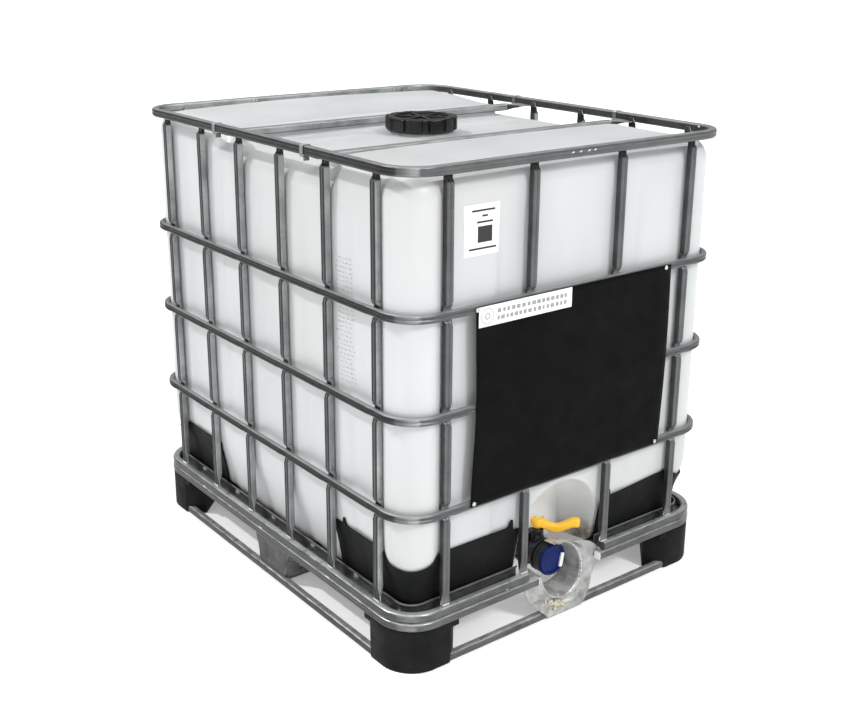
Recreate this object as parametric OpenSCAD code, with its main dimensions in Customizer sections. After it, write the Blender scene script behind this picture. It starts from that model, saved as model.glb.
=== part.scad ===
// Intermediate bulk container: a blow-moulded bottle inside a welded tube cage, on a skid
// pallet of steel rings with plastic corner feet, with a bottom outlet valve at the front.
// +X runs to the right along the valve face, the valve faces -Y and +Z is up.
// The origin is on the ground under the middle of the footprint.

/* [Overall] */
// Width of the footprint, along the valve face
pallet_w = 1000; // [960:10:1040]
// Length of the footprint, front to back
pallet_l = 1200; // [1160:10:1240]
// Height over the crossbar clips on the top rim
total_h = 1160; // [1150:10:1200]
// Outer corner radius of the steel rings, in plan
ring_corner = 95; // [85:5:105]

/* [Cage] */
// Height of the middle of the lower ring
ring_lower_z = 382; // [370:1:400]
// Height of the middle of the middle ring
ring_middle_z = 611; // [590:1:630]
// Height of the middle of the upper ring
ring_upper_z = 839; // [820:1:860]
// Width of an upright bar, seen from outside
bar_w = 20; // [16:1:22]
// Spacing of the six uprights on each long side
side_pitch = 190.5; // [180:0.5:192]
// Offset of the inner pair of uprights on each short side
end_inner_x = 135; // [125:1:145]
// Offset of the outer pair of uprights on each short side
end_outer_x = 372; // [360:1:380]
// Position of the front crossbar along the length
crossbar_front_y = -235; // [-250:1:-220]
// Position of the rear crossbar along the length
crossbar_rear_y = 178; // [160:1:190]

/* [Bottle] */
// Half width of the bottle
bottle_x = 467; // [455:1:467]
// Half length of the bottle
bottle_y = 567; // [555:1:567]
// Height of the two pillows on top of the bottle
bottle_top = 1138; // [1130:1:1138]
// Wall thickness of the bottle
bottle_wall = 3; // [2:0.5:4]
// Half width of the valve recess
recess_r = 130; // [120:1:132]

/* [Lid] */
// Radius over the grip lugs of the lid
lid_r = 92; // [90:1:95]
// Number of grip lugs
lid_lugs = 12; // [8:1:16]

/* [Valve] */
// Height of the outlet axis
outlet_z = 124; // [122:1:130]
// Bore radius of the outlet
outlet_bore = 25; // [20:1:26]
// Length of the handle from the stem to its tip
handle_len = 108; // [90:1:110]
// How far the handle is turned from closed, towards the front
handle_turn = 40; // [0:5:90]

/* [Hidden] */
$fn = 48;

steel = "darkgray";
moulded_black = "#202224";
hdpe = "whitesmoke";

tube_wall = 1.2;       // wall of every cage and pallet tube
half_w = pallet_w/2;
half_l = pallet_l/2;

skid_d = 20;           // skid tube, square with soft corners
skid_inset = 7;
skid_wall = 2;
runner_y = -40;        // the cross runner joins the two side legs
pallet_band_z = 107;   // underside of the pallet ring
pallet_band_h = 21;
pallet_band_d = 22;
gap_left = 95;         // the gap in the pallet ring at the valve, to each side
gap_right = 113;
deck_z = pallet_band_z + pallet_band_h;
deck_t = 2;
deck_bolt_r = 3;
rib_inset = 44;        // outer face of the pallet to the tray's turned-up edge
valve_cut = 132;       // half of the tray's cut-out at the valve
base_ring_d = 20;
base_ring_h = 21;
base_gap = 127;        // half of the gap in the cage base ring
bar_bottom = deck_z + deck_t + base_ring_h;

ring_inset = 3;
ring_d = 16;
ring_h = 20;
ring_zs = [ring_lower_z, ring_middle_z, ring_upper_z];
clip_t = 1.5;
rim_inset = clip_t;
rim_d = 20;
rim_h = 22;
rim_z = total_h - clip_t - rim_h/2;
bar_d = 18;
bar_inset = 19;        // outermost face of the pallet to the middle of an upright
notch = ring_inset + ring_d - (bar_inset - bar_d/2);
side_ys = [for (i = [0:5]) (i - 2.5)*side_pitch];
end_xs = [-end_outer_x, -end_inner_x, end_inner_x, end_outer_x];

plate_x0 = -314;       // left edge of the label panel
plate_w = 612;
plate_screw_r = 2;
plate_screw_xs = [plate_x0 + 10, plate_x0 + plate_w - 10];
plate_screw_zs = [ring_lower_z + 4, ring_upper_z];

crossbar_d = 20;
crossbar_z = rim_z - rim_h/2 - crossbar_d/2 + 4;
crossbar_half = half_w - rim_inset - rim_d - 14;
tab_t = 3;
tab_w = 60;
strap_w = 16;

leg_inset = 16;        // the face of a pressed leg stands on the flat of the skid tube

foot_h = deck_z - pallet_band_h;
foot_size = 136;       // length of a foot along each outer face
foot_inner = 178;      // reach of the foot inside the skid tube
foot_corner = 88;

guard_gap = 0.5;       // play between the bottle and a corner guard
guard_t = 3;
guard_reach_x = 345;   // length of a corner guard along the short side
guard_reach_y = 318;   // length of a corner guard along the long side
guard_top = 275;

bottle_z = deck_z + deck_t;
bottle_corner = 95;
bottle_taper = 22;     // the lower walls lean in by this much
taper_z = 285;
saddle_z = 1113;
recess_back = -445;    // the wall that the outlet stands on
recess_arch_z = 215;
sump_r = 38;
sump_end = -340;

neck_r = 79.5;
neck_bore = 73;
neck_top = 1150;
thread_h = 2.6;
lid_top = total_h;
lid_bottom = 1123;
lid_skirt_r = 87;

valve_y = -487;        // the stem stands here
valve_face = recess_back - 19;
valve_end = -534;
stem_r = 5;
stem_play = 0.08;
screw_r = 2.5;
handle_z = 203;        // middle of the handle's grip
cap_face = -548;
cap_r = 43;

// Points of a quarter circle, from angle a0
function quarter(cx, cy, r, a0, n) = [for (i = [0:n]) [cx + r*cos(a0 + 90*i/n), cy + r*sin(a0 + 90*i/n)]];

function reverse(list) = [for (i = [len(list) - 1:-1:0]) list[i]];

// Outline of a rectangle with round corners
function soft_rect(w, h, r, n = 4) = concat(
    quarter(w/2 - r, h/2 - r, r, 0, n),
    quarter(-w/2 + r, h/2 - r, r, 90, n),
    quarter(-w/2 + r, -h/2 + r, r, 180, n),
    quarter(w/2 - r, -h/2 + r, r, 270, n));

// Cross-section of a tube, d across and h high
module tube_section(d, h, r, wall) {
    difference() {
        polygon(soft_rect(d, h, r));
        polygon(soft_rect(d - 2*wall, h - 2*wall, r - wall));
    }
}

// A straight tube along X between two ends
module tube_x(x0, x1, y, z, d, h, r, wall) {
    translate([x0, y, z]) rotate([90, 0, 90]) linear_extrude(x1 - x0) tube_section(d, h, r, wall);
}

// A ring of tube with four round corners; gap is an opening in the front run, to each side
module ring_tube(inset, d, h, z, r = 5, wall = tube_wall, gap = [0, 0]) {
    a = half_w - inset - d/2;
    b = half_l - inset - d/2;
    c = ring_corner - inset - d/2;
    tube_x(-(a - c), a - c, b, z, d, h, r, wall);
    if (gap[0] == 0) {
        tube_x(-(a - c), a - c, -b, z, d, h, r, wall);
    } else {
        tube_x(-(a - c), -gap[0], -b, z, d, h, r, wall);
        tube_x(gap[1], a - c, -b, z, d, h, r, wall);
    }
    for (side = [0, 180]) {
        rotate([0, 0, 90]) rotate([0, 0, side]) tube_x(-(b - c), b - c, -a, z, d, h, r, wall);
    }
    for (corner = [[1, 1, 0], [-1, 1, 90], [-1, -1, 180], [1, -1, 270]]) {
        translate([corner[0]*(a - c), corner[1]*(b - c), z]) rotate([0, 0, corner[2]])
            rotate_extrude(angle = 90) translate([c, 0]) tube_section(d, h, r, wall);
    }
}

module skid_ring() {
    color(steel) ring_tube(skid_inset, skid_d, skid_d, skid_d/2, 6, skid_wall);
}

module skid_runner() {
    half = half_w - skid_inset - skid_d;
    color(steel) tube_x(-half, half, runner_y, skid_d/2, skid_d, skid_d, 6, skid_wall);
}

module pallet_ring() {
    color(steel) ring_tube(0, pallet_band_d, pallet_band_h, deck_z - pallet_band_h/2,
                           gap = [gap_left, gap_right]);
}

// Plugs in the two open ends of the pallet ring
module ring_plugs() {
    head_t = 2;
    play = 0.3;
    stub_r = 4.5;
    stub_w = pallet_band_d - 2*(tube_wall + play);
    stub_h = pallet_band_h - 2*(tube_wall + play);
    color(hdpe) for (end = [[-gap_left, 0], [gap_right, 180]]) {
        translate([end[0], -half_l + pallet_band_d/2, deck_z - pallet_band_h/2])
            rotate([0, 0, end[1]]) rotate([90, 0, 90]) {
                linear_extrude(head_t) polygon(soft_rect(pallet_band_d, pallet_band_h, 5));
                translate([0, 0, -12]) linear_extrude(12) polygon(soft_rect(stub_w, stub_h, stub_r));
            }
    }
}

module cage_base_ring() {
    color(steel) ring_tube(1, base_ring_d, base_ring_h, bar_bottom - base_ring_h/2,
                           gap = [base_gap, base_gap]);
}

module cage_ring(z) {
    color(steel) difference() {
        ring_tube(ring_inset, ring_d, ring_h, z);
        screw_holes();
    }
}

// Holes for the screws of the label panel
module screw_holes() {
    for (x = plate_screw_xs, screw_z = plate_screw_zs) {
        translate([x, -half_l + ring_inset + ring_d/2, screw_z]) rotate([90, 0, 0])
            cylinder(r = plate_screw_r + 0.1, h = 15);
    }
}

module top_rim() {
    color(steel) ring_tube(rim_inset, rim_d, rim_h, rim_z, 6);
}

// Plan of a foot in the corner at +X +Y of its own frame, whose outer faces are at 0.
// Its inner face runs straight across from one end to the other.
module foot_plan(grow) {
    polygon(concat(
        quarter(-foot_corner - 3, -foot_corner - 3, foot_corner + grow, 0, 10),
        [[-foot_size, -3 + grow], [-foot_inner - 2.5*grow, -45 + grow],
         [-45 + grow, -foot_inner - 2.5*grow], [-3 + grow, -foot_size]]));
}

// A moulded foot: an outer shell with cross ribs, cut out over the skid tube
module foot(sx, sy) {
    rib_t = 4;
    color(moulded_black) difference() {
        translate([sx*half_w, sy*half_l, 0]) scale([sx, sy, 1]) {
            difference() {
                linear_extrude(foot_h) foot_plan(0);
                translate([0, 0, -1]) linear_extrude(foot_h - 7) foot_plan(-rib_t);
            }
            for (turn = [0, 1]) {
                mirror([turn, -turn, 0]) translate([-foot_size - 26, -17, foot_h - 15]) cube([30, 12, 15]);
            }
            intersection() {
                linear_extrude(foot_h - 6) foot_plan(-1);
                union() {
                    for (p = [60, 105]) {
                        translate([-p, -foot_inner, 0]) cube([rib_t, foot_inner, foot_h - 6]);
                        translate([-foot_inner, -p, 0]) cube([foot_inner, rib_t, foot_h - 6]);
                    }
                }
            }
        }
        skid_clearance();
    }
}

// Room for the skid tube through the feet
module skid_clearance() {
    play = 0.4;
    room = skid_d + 2*play;
    ring_path(skid_inset - play, room, -1, skid_d + play);
}

// A solid band that follows the plan of a ring
module ring_path(inset, d, z0, z1) {
    w = pallet_w - 2*inset;
    l = pallet_l - 2*inset;
    c = ring_corner - inset;
    translate([0, 0, z0]) linear_extrude(z1 - z0) difference() {
        polygon(soft_rect(w, l, c, 12));
        polygon(soft_rect(w - 2*d, l - 2*d, c - d, 12));
    }
}

// A pressed leg in the middle of a side: a face plate with two turned-in flanges
module leg(reach, half_top) {
    leg_t = 2.5;
    flange = 46;
    leg_foot = 66;
    top_z = pallet_band_z;
    translate([reach, 0, 0]) {
        rotate([90, 0, -90]) linear_extrude(leg_t)
            polygon([[-leg_foot, skid_d], [leg_foot, skid_d], [half_top, top_z], [-half_top, top_z]]);
        for (s = [-1, 1]) {
            translate([0, s*(leg_foot - leg_t/2) - leg_t/2, skid_d]) cube([flange, leg_t, top_z - skid_d]);
        }
        translate([0, -leg_foot, top_z - leg_t]) cube([flange, 2*leg_foot, leg_t]);
    }
}

module leg_left() {
    color(steel) leg(-half_w + leg_inset, 84);
}

module leg_right() {
    color(steel) rotate([0, 0, 180]) leg(-half_w + leg_inset, 84);
}

module leg_back() {
    color(steel) rotate([0, 0, -90]) leg(-half_l + leg_inset, 84);
}

// Pressed guard under the valve: a bent sheet with a funnel round the outlet, open at its upper left
module valve_guard() {
    sheet = 2.5;
    front = -half_l + 2;
    back = -half_l + pallet_band_d;
    funnel_front = -583;
    funnel_back = -520;
    funnel_z = outlet_z - 14;
    hole_r = 68;
    tail_r = 60;
    side = [[54, 2], [75, 24], [104, 50], [118, 85], [127, 130], [98, 156], [62, 170]];
    open_x = -15;
    color(steel) difference() {
        union() {
            difference() {
                intersection() {
                    translate([-150, 0, 0]) rotate([90, 0, 90]) linear_extrude(300) polygon([
                        [front, 3], [front + sheet, 3], [front + sheet, 22], [back + sheet, 62],
                        [back + sheet, 172], [back, 172], [back, 62], [front, 23]]);
                    rotate([90, 0, 0]) translate([0, 0, 500]) linear_extrude(150)
                        polygon(concat(side, [for (p = reverse(side)) [-p[0], p[1]]]));
                }
                translate([0, 0, funnel_z]) rotate([90, 0, 0]) cylinder(r = hole_r, h = half_l + 50);
            }
            translate([0, funnel_back, funnel_z]) rotate([90, 0, 0]) rotate_extrude()
                polygon([[tail_r, 0], [tail_r + sheet, 0], [hole_r + 2, funnel_back - funnel_front],
                         [hole_r - 0.5, funnel_back - funnel_front]]);
        }
        translate([-150, -half_l - 10, pallet_band_z]) cube([150 + open_x, 120, 100]);
    }
}

// Cut-outs of the deck under the outlet and its sump
module deck_cutout(half, reach, z0, h) {
    translate([-half, -half_l - 1, z0]) cube([2*half, half_l + 1 + reach, h]);
}

module deck_tray() {
    rib_x = half_w - rib_inset;
    rib_y = half_l - rib_inset;
    rib_h = 28;
    rib_t = 2;
    rib_r = 38;
    color(steel) difference() {
        union() {
            translate([0, 0, deck_z]) linear_extrude(deck_t)
                polygon(soft_rect(pallet_w - 12, pallet_l - 12, ring_corner - 6, 12));
            translate([0, 0, deck_z]) linear_extrude(rib_h) difference() {
                polygon(soft_rect(2*rib_x, 2*rib_y, rib_r, 12));
                polygon(soft_rect(2*(rib_x - rib_t), 2*(rib_y - rib_t), rib_r - rib_t, 12));
            }
        }
        deck_cutout(valve_cut, recess_back + 4, deck_z - 1, rib_h + 2);
        deck_cutout(sump_r + 5, sump_end + 5, deck_z - 1, rib_h + 2);
        at_deck_bolts() translate([0, 0, -4]) cylinder(r = deck_bolt_r + 0.2, h = 8);
    }
}

// The places of the tray's bolts, with Z pointing out of its turned-up edge
module at_deck_bolts() {
    bolt_z = deck_z + 19;
    for (side = [0, 180], i = [-2:2]) {
        rotate([0, 0, side]) translate([-half_w + rib_inset, 30 + i*side_pitch, bolt_z])
            rotate([0, -90, 0]) children();
    }
}

// Hexagon bolts that hold the tray's turned-up edge, heads outwards
module deck_bolts() {
    head_r = 7;
    color("silver") at_deck_bolts() {
        cylinder(r = head_r, h = 5, $fn = 6);
        translate([0, 0, -6]) cylinder(r = deck_bolt_r, h = 6);
    }
}

// An upright before it is hollowed: it is pressed flat where each ring crosses it
module bar_form(shrink) {
    over = 1;
    difference() {
        translate([0, 0, bar_bottom - (shrink > 0 ? over : 0)])
            linear_extrude(rim_z - rim_h/2 - bar_bottom + (shrink > 0 ? 2*over : 0))
                polygon(soft_rect(bar_w - 2*shrink, bar_d - 2*shrink, 4 - shrink));
        for (z = ring_zs) {
            translate([-bar_w, -bar_d/2 - over, z - ring_h/2 - 3 - shrink])
                cube([2*bar_w, notch + over + shrink, ring_h + 6 + 2*shrink]);
        }
    }
}

module bar() {
    color(steel) difference() {
        bar_form(0);
        bar_form(tube_wall);
    }
}

module front_bar(i) {
    translate([end_xs[i - 1], -half_l + bar_inset, 0]) bar();
}

module back_bar(i) {
    translate([end_xs[i - 1], half_l - bar_inset, 0]) rotate([0, 0, 180]) bar();
}

module left_bar(i) {
    translate([-half_w + bar_inset, side_ys[i - 1], 0]) rotate([0, 0, -90]) bar();
}

module right_bar(i) {
    translate([half_w - bar_inset, side_ys[i - 1], 0]) rotate([0, 0, 90]) bar();
}

// A crossbar over the bottle, flattened into a tab at each end
module crossbar(y) {
    tab_x = half_w - rim_inset - 2;
    color(steel) {
        tube_x(-crossbar_half, crossbar_half, y, crossbar_z, crossbar_d, crossbar_d, 6, tube_wall);
        for (s = [-1, 1]) {
            translate([s > 0 ? crossbar_half : -tab_x, y - tab_w/2, rim_z - rim_h/2 - tab_t])
                crossbar_tab(tab_x - crossbar_half, s);
        }
    }
}

// A flattened end with a slot that the clip's inner leg passes through
module crossbar_tab(tab_l, s) {
    play = 0.25;
    tab_start = s > 0 ? crossbar_half : -crossbar_half - tab_l;
    slot_x = s*(half_w - rim_inset - rim_d + play) - tab_start;
    difference() {
        cube([tab_l, tab_w, tab_t]);
        translate([s > 0 ? slot_x - clip_t - 2*play : slot_x, tab_w/2 - strap_w/2 - play, -1])
            cube([clip_t + 2*play, strap_w + 2*play, tab_t + 2]);
    }
}

// Straps that wrap the rim and clamp the crossbar tabs, one at each end of each bar
module crossbar_clips() {
    inner_h = rim_h + tab_t;
    color("gray") for (s = [-1, 1], y = [crossbar_front_y, crossbar_rear_y]) {
        translate([s*(half_w - rim_inset - rim_d/2), y + strap_w/2, total_h - clip_t - inner_h/2])
            rotate([90, 0, 0]) linear_extrude(strap_w) difference() {
                square([rim_d + 2*clip_t, inner_h + 2*clip_t], center = true);
                square([rim_d, inner_h], center = true);
            }
    }
}

// Plan of the bottle, grown by g
module bottle_plan(g) {
    polygon(soft_rect(2*(bottle_x + g), 2*(bottle_y + g), bottle_corner + g, 14));
}

// Lower half outline shared by both side views: from the wall down to the base, at distance d
function lower_edge(d, g, s) = [
    [s*(d + g), taper_z], [s*(d - bottle_taper + g), bottle_z + 28 - g],
    [s*(d - bottle_taper - 9 + g), bottle_z + 8 - g], [s*(d - bottle_taper - 30), bottle_z - g]];

// View along X: front pillow, crossbar groove, saddle, groove, rear pillow
module bottle_side(g) {
    shoulder = 55;
    lip = 14;
    groove_z = crossbar_z - crossbar_d/2 - 1;
    polygon(concat(
        reverse(lower_edge(bottle_y, g, -1)),
        reverse(quarter(-bottle_y + shoulder, bottle_top - shoulder, shoulder + g, 90, 12)),
        [[crossbar_front_y - lip - 4 + g, bottle_top + g], [crossbar_front_y - lip + g, groove_z + g],
         [crossbar_front_y + lip - g, groove_z + g], [crossbar_front_y + lip + 10 - g, saddle_z + g],
         [crossbar_rear_y - lip - 10 + g, saddle_z + g], [crossbar_rear_y - lip + g, groove_z + g],
         [crossbar_rear_y + lip - g, groove_z + g], [crossbar_rear_y + lip + 4 - g, bottle_top + g]],
        reverse(quarter(bottle_y - shoulder, bottle_top - shoulder, shoulder + g, 0, 12)),
        lower_edge(bottle_y, g, 1)));
}

// View along Y
module bottle_front(g) {
    shoulder = 55;
    polygon(concat(
        reverse(lower_edge(bottle_x, g, -1)),
        reverse(quarter(-bottle_x + shoulder, bottle_top - shoulder, shoulder + g, 90, 12)),
        reverse(quarter(bottle_x - shoulder, bottle_top - shoulder, shoulder + g, 0, 12)),
        lower_edge(bottle_x, g, 1)));
}

// The outer form of the bottle, grown by g, without its recess and neck
module bottle_form(g) {
    reach = 1300;
    intersection() {
        translate([0, 0, 50]) linear_extrude(reach) bottle_plan(g);
        translate([-reach/2, 0, 0]) rotate([90, 0, 90]) linear_extrude(reach) bottle_side(g);
        translate([0, reach/2, 0]) rotate([90, 0, 0]) linear_extrude(reach) bottle_front(g);
    }
}

// The arched recess for the valve, grown by g
module recess(g) {
    translate([0, recess_back + g, 0]) rotate([90, 0, 0]) {
        translate([0, recess_arch_z, 0]) cylinder(r = recess_r + g, h = 300, $fn = 96);
        translate([-recess_r - g, 0, 0]) cube([2*(recess_r + g), recess_arch_z, 300]);
    }
}

module bottle() {
    color(hdpe) difference() {
        union() {
            difference() {
                bottle_form(0);
                recess(0);
            }
            translate([0, sump_end, outlet_z]) rotate([90, 0, 0])
                cylinder(r = sump_r, h = sump_end - recess_back);
            translate([0, recess_back + 1, outlet_z]) rotate([90, 0, 0])
                cylinder(r = outlet_bore + 9, h = 16);
            translate([0, 0, saddle_z - 4])
                cylinder(r = neck_r, h = neck_top - saddle_z + 4, $fn = 96);
        }
        difference() {
            bottle_form(-bottle_wall);
            recess(bottle_wall);
        }
        translate([0, sump_end - bottle_wall, outlet_z]) rotate([90, 0, 0])
            cylinder(r = sump_r - bottle_wall, h = sump_end - recess_back - 2*bottle_wall);
        translate([0, sump_end - 20, outlet_z]) rotate([90, 0, 0])
            cylinder(r = outlet_bore, h = 150);
        translate([0, 0, saddle_z - 40]) cylinder(r = neck_bore, h = 100, $fn = 96);
    }
}

// Screw lid with grip lugs round its skirt
module lid() {
    face_t = 7;
    recess_d = 4;
    lug_w = 15;
    color(moulded_black) difference() {
        union() {
            translate([0, 0, lid_bottom]) cylinder(r = lid_skirt_r, h = lid_top - lid_bottom, $fn = 96);
            for (i = [0:lid_lugs - 1]) {
                rotate([0, 0, i*360/lid_lugs]) translate([lid_skirt_r - 8, -lug_w/2, lid_bottom + 3])
                    cube([lid_r - lid_skirt_r + 8, lug_w, lid_top - lid_bottom - 3]);
            }
        }
        translate([0, 0, lid_bottom - 1])
            cylinder(r = neck_r + thread_h + 0.9, h = lid_top - face_t - lid_bottom + 1, $fn = 96);
        translate([0, 0, lid_top - recess_d]) cylinder(r = 66, h = recess_d + 1, $fn = 96);
    }
    // cross ribs in the recessed face
    color(moulded_black) for (a = [0, 60, 120]) {
        rotate([0, 0, a]) translate([-67, -4, lid_top - recess_d]) cube([134, 8, recess_d - 1]);
    }
}

module lid_seal() {
    color("dimgray") translate([0, 0, neck_top]) difference() {
        cylinder(r = neck_r, h = lid_top - 7 - neck_top, $fn = 96);
        translate([0, 0, -1]) cylinder(r = neck_bore, h = 10, $fn = 96);
    }
}

// Union nut that holds the valve on the outlet
module valve_nut() {
    nut_r = 45;
    color(moulded_black) translate([0, recess_back - 1, outlet_z]) rotate([90, 0, 0]) difference() {
        union() {
            cylinder(r = nut_r, h = 26);
            for (i = [0:7]) {
                rotate([0, 0, i*45]) translate([nut_r - 2, -5, 0]) cube([4, 10, 26]);
            }
        }
        translate([0, 0, -1]) cylinder(r = outlet_bore + 12.2, h = 24);
        cylinder(r = outlet_bore + 8.4, h = 30);
    }
}

module valve_seal() {
    color("dimgray") translate([0, recess_back - 15, outlet_z]) rotate([90, 0, 0]) difference() {
        cylinder(r = outlet_bore + 8, h = 4);
        translate([0, 0, -1]) cylinder(r = outlet_bore, h = 6);
    }
}

// Butterfly valve body with its stem tower and threaded outlet
module valve_body() {
    tower_r = 14;
    color(moulded_black) difference() {
        union() {
            translate([0, valve_face, outlet_z]) rotate([90, 0, 0]) {
                cylinder(r = outlet_bore + 12, h = 4);
                cylinder(r = outlet_bore + 8, h = valve_face - valve_end);
            }
            translate([0, valve_y - 17, outlet_z]) rotate([90, 0, 0]) cylinder(r = 42, h = 7);
            translate([0, valve_y, outlet_z]) cylinder(r = tower_r, h = handle_z - 13 - outlet_z);
            translate([0, valve_y, outlet_z - outlet_bore - 10]) cylinder(r = tower_r - 4, h = 20);
        }
        translate([0, valve_face + 1, outlet_z]) rotate([90, 0, 0]) cylinder(r = outlet_bore, h = 90);
        translate([0, valve_y, outlet_z - outlet_bore - 4.2]) cylinder(r = stem_r + stem_play, h = 140);
    }
}

module valve_stem() {
    foot_z = outlet_z - outlet_bore - 4;
    color("silver") translate([0, valve_y, 0]) difference() {
        translate([0, 0, foot_z]) cylinder(r = stem_r, h = handle_z + 9 - foot_z);
        translate([0, 0, handle_z]) cylinder(r = screw_r, h = 10);
    }
}

// The butterfly disc stands in the plane of the handle
module valve_disc() {
    disc_t = 5;
    color("dimgray") translate([0, valve_y, outlet_z]) rotate([0, 0, -handle_turn]) difference() {
        union() {
            translate([0, disc_t/2, 0]) rotate([90, 0, 0]) cylinder(r = outlet_bore - 0.6, h = disc_t);
            translate([0, 0, -outlet_bore + 5]) cylinder(r = stem_r + 3, h = 2*outlet_bore - 10);
        }
        translate([0, 0, -outlet_bore - 1]) cylinder(r = stem_r, h = 2*outlet_bore + 2);
    }
}

// Lever handle: a hub on the stem and a grip that dips and rises again
module valve_handle() {
    hub_r = 15;
    grip_w = 19;
    grip_h = 15;
    dip = 9;
    steps = 12;
    wave = [for (i = [0:steps]) [8 + i*(handle_len - 17)/steps, -dip*sin(180*i/steps)]];
    color("orange") translate([0, valve_y, handle_z]) rotate([0, 0, -handle_turn]) difference() {
        union() {
            translate([0, 0, -11]) cylinder(r = hub_r, h = 21);
            rotate([90, 0, 0]) translate([0, 0, -grip_w/2]) linear_extrude(grip_w) polygon(concat(
                [for (p = wave) p + [0, grip_h/2]], [for (p = reverse(wave)) p - [0, grip_h/2]]));
            translate([handle_len - 10, 0, -grip_h/2]) cylinder(r = grip_w/2, h = grip_h);
        }
        translate([0, 0, -12]) cylinder(r = stem_r, h = 21);
        translate([0, 0, 8]) cylinder(r = screw_r, h = 9);
    }
}

module handle_screw() {
    color("silver") translate([0, valve_y, handle_z + 10]) {
        cylinder(r = 6, h = 4);
        translate([0, 0, -9]) cylinder(r = screw_r, h = 9);
    }
}

// Screw cap on the outlet
module outlet_cap() {
    skirt_back = cap_face + 32;
    bore_r = outlet_bore + 8 + 1;
    color("darkblue") translate([0, skirt_back, outlet_z]) rotate([90, 0, 0]) difference() {
        cylinder(r = cap_r, h = 32, $fn = 96);
        translate([0, 0, -1]) cylinder(r = bore_r, h = skirt_back - valve_end + 4);
        translate([0, 0, 27]) cylinder(r = cap_r - 8, h = 6);
    }
}

module outlet_cap_seal() {
    color("dimgray") translate([0, valve_end, outlet_z]) rotate([90, 0, 0]) difference() {
        cylinder(r = outlet_bore + 7, h = 3);
        translate([0, 0, -1]) cylinder(r = outlet_bore, h = 5);
    }
}

// Black moulded corner guard between the bottle and the cage, mirrored to each corner
module corner_guard(sx, sy) {
    notch_r = 62;
    u_z = 238;
    hook_w = 9;
    tail_w = 18;
    color(moulded_black) scale([sx, sy, 1]) {
        difference() {
            intersection() {
                difference() {
                    bottle_form(guard_gap + guard_t);
                    bottle_form(guard_gap);
                }
                union() {
                    translate([half_w - guard_reach_x, half_l - guard_reach_y, bottle_z + 12])
                        cube([guard_reach_x, guard_reach_y, guard_top - bottle_z - 12]);
                    translate([half_w - guard_reach_x, half_l - guard_reach_y, guard_top - 20]) {
                        translate([25, 200, 0]) cube([hook_w, 200, 38]);
                        translate([200, 25, 0]) cube([200, hook_w, 38]);
                    }
                    translate([half_w - guard_reach_x - tail_w, half_l - 100, bottle_z + 12])
                        cube([tail_w + 1, 100, guard_top - bottle_z - 32]);
                }
            }
            translate([bottle_x - 28, bottle_y - 28, u_z + notch_r]) rotate([90, 0, -45])
                translate([0, 0, -120]) cylinder(r = notch_r, h = 240, $fn = 64);
        }
    }
}

// Panel on the front of the cage between the lower and upper rings
module label_plate() {
    plate_t = 1.2;
    color("#17181a") difference() {
        translate([plate_x0, -half_l + 0.8, ring_lower_z - 2])
            cube([plate_w, plate_t, ring_upper_z + 8 - ring_lower_z]);
        screw_holes();
    }
}

module plate_screws() {
    color("silver") for (x = plate_screw_xs, z = plate_screw_zs) {
        translate([x, -half_l + 0.8, z]) rotate([90, 0, 0]) {
            cylinder(r = 5, h = 0.8);
            translate([0, 0, -8]) cylinder(r = plate_screw_r, h = 8);
        }
    }
}

skid_ring();
skid_runner();
foot(-1, -1);  // foot_front_left
foot(1, -1);  // foot_front_right
foot(-1, 1);  // foot_back_left
foot(1, 1);  // foot_back_right
leg_left();
leg_right();
leg_back();
valve_guard();
pallet_ring();
ring_plugs();
deck_tray();
deck_bolts();
cage_base_ring();
front_bar(1);  // front_bar_1
front_bar(2);  // front_bar_2
front_bar(3);  // front_bar_3
front_bar(4);  // front_bar_4
back_bar(1);  // back_bar_1
back_bar(2);  // back_bar_2
back_bar(3);  // back_bar_3
back_bar(4);  // back_bar_4
left_bar(1);  // left_bar_1
left_bar(2);  // left_bar_2
left_bar(3);  // left_bar_3
left_bar(4);  // left_bar_4
left_bar(5);  // left_bar_5
left_bar(6);  // left_bar_6
right_bar(1);  // right_bar_1
right_bar(2);  // right_bar_2
right_bar(3);  // right_bar_3
right_bar(4);  // right_bar_4
right_bar(5);  // right_bar_5
right_bar(6);  // right_bar_6
cage_ring(ring_lower_z);  // ring_lower
cage_ring(ring_middle_z);  // ring_middle
cage_ring(ring_upper_z);  // ring_upper
top_rim();
crossbar(crossbar_front_y);  // crossbar_front
crossbar(crossbar_rear_y);  // crossbar_rear
crossbar_clips();
corner_guard(-1, -1);  // corner_guard_front_left
corner_guard(1, -1);  // corner_guard_front_right
corner_guard(-1, 1);  // corner_guard_back_left
corner_guard(1, 1);  // corner_guard_back_right
label_plate();
plate_screws();
bottle();
lid();
lid_seal();
valve_nut();
valve_seal();
valve_body();
valve_stem();
valve_disc();
valve_handle();
handle_screw();
outlet_cap();
outlet_cap_seal();
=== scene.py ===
"""Looks of the intermediate bulk container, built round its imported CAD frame.

Lengths are in metres. +X runs to the right along the valve face, the valve faces -Y and +Z is up.
Every piece is modelled in place, with its object at the origin, so that object coordinates are
places in the frame.
"""
import math

import bpy
import numpy as np
from mathutils import Matrix, Vector


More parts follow.
